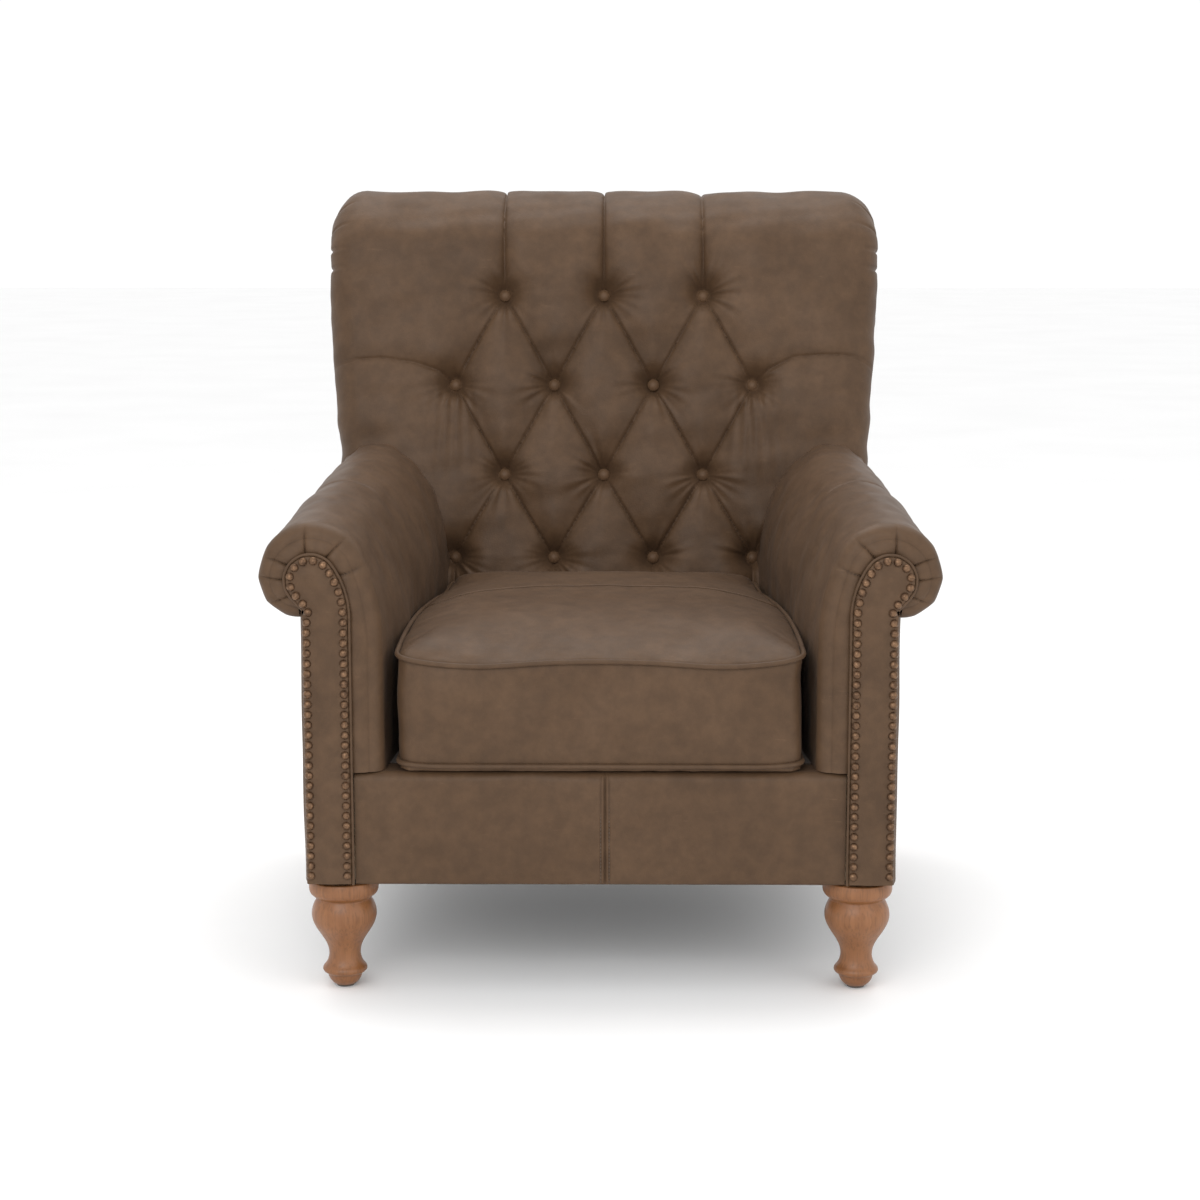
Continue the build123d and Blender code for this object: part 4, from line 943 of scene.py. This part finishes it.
def cushion_outline(z, inset, count=240):
    """Points round the cushion's plan at height z, evenly spaced, starting at the front middle."""
    front = cushion_front + inset
    rear = back_y(z) - CUSHION_GAP - inset
    front_half, rear_half = CUSHION_FRONT_HALF - inset, CUSHION_REAR_HALF - inset
    corners = np.array([(front_half, front), (rear_half, rear), (-rear_half, rear), (-front_half, front)])
    points = [np.array([0.0, front])]
    for corner, before, after in zip(corners, np.roll(corners, 1, 0), np.roll(corners, -1, 0)):
        a = (before - corner) / np.linalg.norm(before - corner)
        c = (after - corner) / np.linalg.norm(after - corner)
        for t in np.linspace(0, 1, 12):
            points.append(corner + a * CORNER * (1 - t) ** 2 + c * CORNER * t**2)
    points = np.array(points + points[:1])
    lengths = np.concatenate([[0], np.cumsum(np.linalg.norm(np.diff(points, axis=0), axis=1))])
    at = np.linspace(0, lengths[-1], count + 1)[:-1]
    x, y = np.interp(at, lengths, points[:, 0]), np.interp(at, lengths, points[:, 1])
    # the sides belly out towards the arms
    x *= 1 + 0.040 * np.sin(pi * np.clip((y - front) / (rear - front), 0, 1)) ** 0.9
    return spaced(x, y)


def top_seam_wave(x, y):
    """The top seam dips either side of the middle, near the front."""
    near_front = np.exp(-np.clip(y - cushion_front, 0, 1) / 0.10)
    dip = -0.0062 * bell(np.abs(x) - 0.150, 0.070) + 0.0040 * bell(np.abs(x) - 0.252, 0.032)
    along = np.clip((y - cushion_front) / 0.54, 0, 1)
    sides = 0.015 * np.sin(pi * along**0.8) * smooth((np.abs(x) - 0.14) / 0.07)
    rear = 0.010 * smooth((y - cushion_front - 0.46) / 0.06)
    return dip * near_front + sides + rear


def cushion_form():
    """The cushion before it swells: base, boxing and a low crown, drawn in a little."""
    rings = []
    low, high = cushion_outline(seam_low, DRAWN_IN), cushion_outline(seam_high, DRAWN_IN)
    middle = np.array([0.0, (cushion_front + back_y(seam_high) - CUSHION_GAP) / 2])
    for t in np.linspace(0.02, 1, 30):
        ring = middle + (low - middle) * t
        rings.append(np.column_stack([ring, np.full(len(ring), boxing_low.z - 0.0015)]))
    for t in np.linspace(0, 1, 26):
        ring = lerp(low, high, t)
        z = lerp(seam_low, seam_high, t) + top_seam_wave(*ring.T) * t**2
        rings.append(np.column_stack([ring, z]))
    for t in np.linspace(1, 0.02, 44)[1:]:
        ring = middle + (high - middle) * t
        crown = 0.047 * (1 - np.clip(t, 0, 1) ** 2.2) ** 0.72
        crown = crown + 0.006 * t * np.clip((ring[:, 1] + 0.14) / 0.27, 0, 1)
        z = seam_high + crown + top_seam_wave(*high.T) * smooth((t - 0.45) / 0.55)
        rings.append(np.column_stack([ring, z]))
    return np.stack(rings)


def swell(piece, pinned, cap):
    """Swells a closed piece under pressure with its pinned points held, no point moving beyond cap."""
    rest = vertex_places(piece.data)
    group = piece.vertex_groups.new(name="held")
    weights = pinned(rest)
    for index in np.nonzero(weights > 0.01)[0]:
        group.add([int(index)], float(weights[index]), "REPLACE")
    cloth = piece.modifiers.new("swell", "CLOTH")
    settings = cloth.settings
    settings.quality = 5
    settings.use_pressure = True
    settings.uniform_pressure_force = 4.0
    settings.tension_stiffness = 20
    settings.compression_stiffness = 20
    settings.shear_stiffness = 8
    settings.bending_stiffness = 1.0
    settings.vertex_group_mass = "held"
    settings.effector_weights.gravity = 0
    cloth.collision_settings.use_self_collision = False
    scene = bpy.context.scene
    for step in range(1, SWELL_FRAMES + 1):
        scene.frame_set(step)
    shown = piece.evaluated_get(bpy.context.evaluated_depsgraph_get()).data
    moved = vertex_places(shown) - rest
    piece.modifiers.remove(cloth)
    scene.frame_set(1)
    length = np.linalg.norm(moved, axis=1)
    most = cap(rest)
    scale = np.where(length > 1e-9, most * np.tanh(length / most) / np.maximum(length, 1e-9), 1)
    return rest + moved * scale[:, None]


def remeshed(piece, voxel):
    """Gives the piece an even voxel mesh."""
    modifier = piece.modifiers.new("even", "REMESH")
    modifier.mode, modifier.voxel_size = "VOXEL", voxel
    bpy.context.view_layer.update()
    mesh = bpy.data.meshes.new_from_object(piece.evaluated_get(bpy.context.evaluated_depsgraph_get()))
    piece.modifiers.remove(modifier)
    material = piece.data.materials[0]
    piece.data = mesh
    mesh.materials.clear()
    mesh.materials.append(material)
    mesh.polygons.foreach_set("use_smooth", np.ones(len(mesh.polygons), bool))


JOIN_Y = -0.125  # the crown is joined from two hides here


def make_crown_join(cushion):
    """The raised join across the cushion's crown, with the leather turned over it."""
    bpy.context.view_layer.update()
    shown = bpy.context.evaluated_depsgraph_get()
    tree = BVHTree.FromObject(cushion, shown)
    path = []
    for x in np.linspace(-0.240, 0.240, 121):
        hit = tree.ray_cast(Vector((x, JOIN_Y + 0.002 * sin(9 * x), 1.0)), Vector((0, 0, -1)))[0]
        if hit:
            path.append((hit.x, hit.y, hit.z + 0.0003))
    join = tube("cushion_crown_join", path, 0.0017, CUSHION, SHADED_HIDE_CUSHION)


def make_cushion():
    """The loose box cushion: swollen leather and two pipings, with the frame's zip left in its rear."""
    form = cushion_form()
    rings, round_count, _ = form.shape
    points = form.reshape(-1, 3)
    quads = grid_quads(rings, round_count, closed=True)
    piece = mesh_piece("cushion_leather", points, quads, CUSHION, SHADED_HIDE_CUSHION)
    # close the two small holes in the middle of the base and the crown
    edit = bmesh.new()
    edit.from_mesh(piece.data)
    bmesh.ops.holes_fill(edit, edges=[e for e in edit.edges if e.is_boundary], sides=0)
    bmesh.ops.recalc_face_normals(edit, faces=edit.faces)
    edit.to_mesh(piece.data)
    edit.free()
    remeshed(piece, VOXEL)
    low_line = cushion_outline(seam_low, DRAWN_IN, 400)
    high_line = cushion_outline(seam_high, DRAWN_IN, 400)
    high_z = seam_high + top_seam_wave(*high_line.T)
    low_path = np.column_stack([low_line, np.full(len(low_line), seam_low)])
    high_path = np.column_stack([high_line, high_z])

    def seam_distance(co):
        best = np.full(len(co), 9.0)
        for path in (low_path, high_path):
            for chunk in np.array_split(np.arange(len(co)), 40):
                gap = np.linalg.norm(co[chunk][:, None] - path[None], axis=2).min(1)
                best[chunk] = np.minimum(best[chunk], gap)
        return best

    def rear_face(co):
        behind = back_y(co[:, 2]) - CUSHION_GAP - DRAWN_IN - co[:, 1]
        return smooth((0.02 - behind) / 0.012) * smooth((co[:, 2] - seam_low) / 0.01)

    def pinned(co):
        near = smooth((0.009 - seam_distance(co)) / 0.005)
        base = smooth((boxing_low.z + 0.002 - co[:, 2]) / 0.002)
        return np.maximum(np.maximum(near, rear_face(co)), base)

    def cap(co):
        top = smooth((co[:, 2] - seam_high) / 0.01)
        return lerp(0.0075, 0.024, top)

    co = swell(piece, pinned, cap)
    piece.vertex_groups.clear()
    # leather drawn into the seams, soft dimples and a shallow groove along the crown's join
    away = seam_distance(co)
    centre = np.array([0.0, (cushion_front + back_y(seam_high)) / 2, (seam_low + seam_high) / 2])
    outward = co - centre
    outward /= np.linalg.norm(outward, axis=1)[:, None]
    top = smooth((co[:, 2] - seam_high - 0.004) / 0.012)
    lift = -0.0008 * np.exp(-away / 0.005)
    lift += smooth(away / 0.03) * (0.0011 * ripple(co, 0.15, 61) + 0.0005 * ripple(co, 0.05, 62))
    pucker = bell(away - 0.016, 0.012) * ripple(co * np.array([1, 1, 0.2]), 0.020, 63)
    lift += 0.0005 * pucker
    lift -= 0.0016 * top * bell(co[:, 1] - JOIN_Y, 0.006)
    lift *= 1 - rear_face(co)
    co = co + outward * lift[:, None]
    piece.data.vertices.foreach_set("co", co.astype(np.float32).ravel())
    piece.data.update()
    subdivided(piece)
    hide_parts("cushion_base_panel", "cushion_boxing", "cushion_top_panel", "cushion_foam")
    make_crown_join(piece)
    low_line, high_line = (cushion_outline(z, 0.0, 400) for z in (seam_low, seam_high))
    for name, line, z in (
        ("bottom", low_line, seam_low + 0.003 * bell(np.abs(low_line[:, 0]) - 0.252, 0.03)),
        ("top", high_line, seam_high + top_seam_wave(*high_line.T) + 0.0006),
    ):
        path = np.column_stack([line, z])
        cord = tube(f"cushion_piping_{name}_leather", path, PIPING_RADIUS, CUSHION, PIPING, closed=True)
        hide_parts(f"cushion_piping_{name}")


# ---------------------------------------------------------------- legs
def make_front_legs():
    """Turned front legs: foot, collar, waist, vase and cap."""
    profile = [  # radius and height, mm
        (13.8, 3.0), (15.0, 4.2), (18.0, 6.5), (20.3, 10.5), (21.5, 14.5), (22.2, 16.6),
        (23.6, 17.6), (26.2, 18.8), (27.7, 20.6), (28.1, 22.4), (27.7, 24.3), (26.5, 26.2),
        (25.0, 27.6), (23.2, 30.0), (21.3, 34.0), (20.0, 38.8), (19.7, 43.0), (20.3, 49.0),
        (22.2, 55.0), (25.0, 60.6), (29.0, 67.0), (33.5, 73.5), (37.6, 80.5), (40.1, 87.0),
        (41.1, 93.5), (40.7, 99.0), (39.2, 104.5), (37.0, 109.5), (35.0, 113.0), (34.0, 114.8),
        (34.1, 116.0), (35.4, 117.0), (38.5, 118.6), (41.4, 121.0), (43.3, 124.3), (44.0, 128.5),
        (43.7, 133.0), (42.8, 136.6), (42.4, 138.5), (42.0, 140.0), (20.0, 140.2), (1.0, 140.2),
    ]
    for side in ("left", "right"):
        low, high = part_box(f"front_leg_{side}")
        centre = ((low.x + high.x) / 2, (low.y + high.y) / 2, 0.0)
        piece = lathe(f"turned_leg_{side}", np.array(profile) / 1000, centre, CHAIR, LEG_WOOD)
        subdivided(piece)
        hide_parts(f"front_leg_{side}")


# ---------------------------------------------------------------- stage, light and camera
def make_stage():
    """A plain pale floor and even soft light."""
    material, shader, coords = new_material("floor")
    tint = ramp(noise(coords, 2.0), [(0.3, 0.93), (0.7, 0.96)])
    set_inputs(shader, Roughness=0.9, Base_Color=tint)
    bpy.ops.mesh.primitive_plane_add(size=40, location=(0, 0, -0.0005))
    floor = bpy.context.object
    floor.name = "floor"
    floor.data.materials.append(material)
    world = bpy.data.worlds.new("studio")
    bpy.context.scene.world = world
    world.use_nodes = True
    sky = world.node_tree.nodes["Background"]
    sky.inputs["Color"].default_value = (1.0, 1.0, 1.0, 1)
    sky.inputs["Strength"].default_value = 1.03


def area_light(name, place, target, size, power):
    light = bpy.data.lights.new(name, "AREA")
    light.shape, light.size, light.size_y, light.energy = "RECTANGLE", size[0], size[1], power
    lamp = placed(name, light)
    lamp.location = place
    lamp.rotation_euler = (Vector(target) - Vector(place)).to_track_quat("-Z", "Y").to_euler()


CAMERA_X = 0.0255
CAMERA_HEIGHT = 1.005
CAMERA_AWAY = 2.933  # in front of the arm fronts
CAMERA_TILT = radians(9.71)
CAMERA_LENS = 73.68  # mm, on a 36 mm sensor


def make_camera():
    camera = bpy.data.cameras.new("camera")
    camera.sensor_width = 36
    camera.lens = CAMERA_LENS
    holder = placed("camera", camera)
    holder.location = (CAMERA_X, front_y - CAMERA_AWAY, CAMERA_HEIGHT)
    holder.rotation_euler = (pi / 2 - CAMERA_TILT, 0, atan2(CAMERA_X, CAMERA_AWAY))
    bpy.context.scene.camera = holder


make_camera()
make_stage()
area_light("key", (-0.8, -3.2, 2.1), (0, 0, 0.6), (2.4, 1.8), 38)
area_light("fill", (2.6, -2.6, 1.6), (0, 0, 0.45), (2.2, 2.2), 14)
area_light("top", (0, 0.6, 3.0), (0, 0, 0.4), (2.6, 1.6), 34)
bpy.context.scene.view_settings.view_transform = "Standard"

make_back()
for side, sign in (("left", -1), ("right", 1)):
    make_arm(side, sign)
    make_scroll_board(side, sign)
    make_facing(side, sign)
make_outside_panels()
make_front_border()
make_cushion()
make_front_legs()
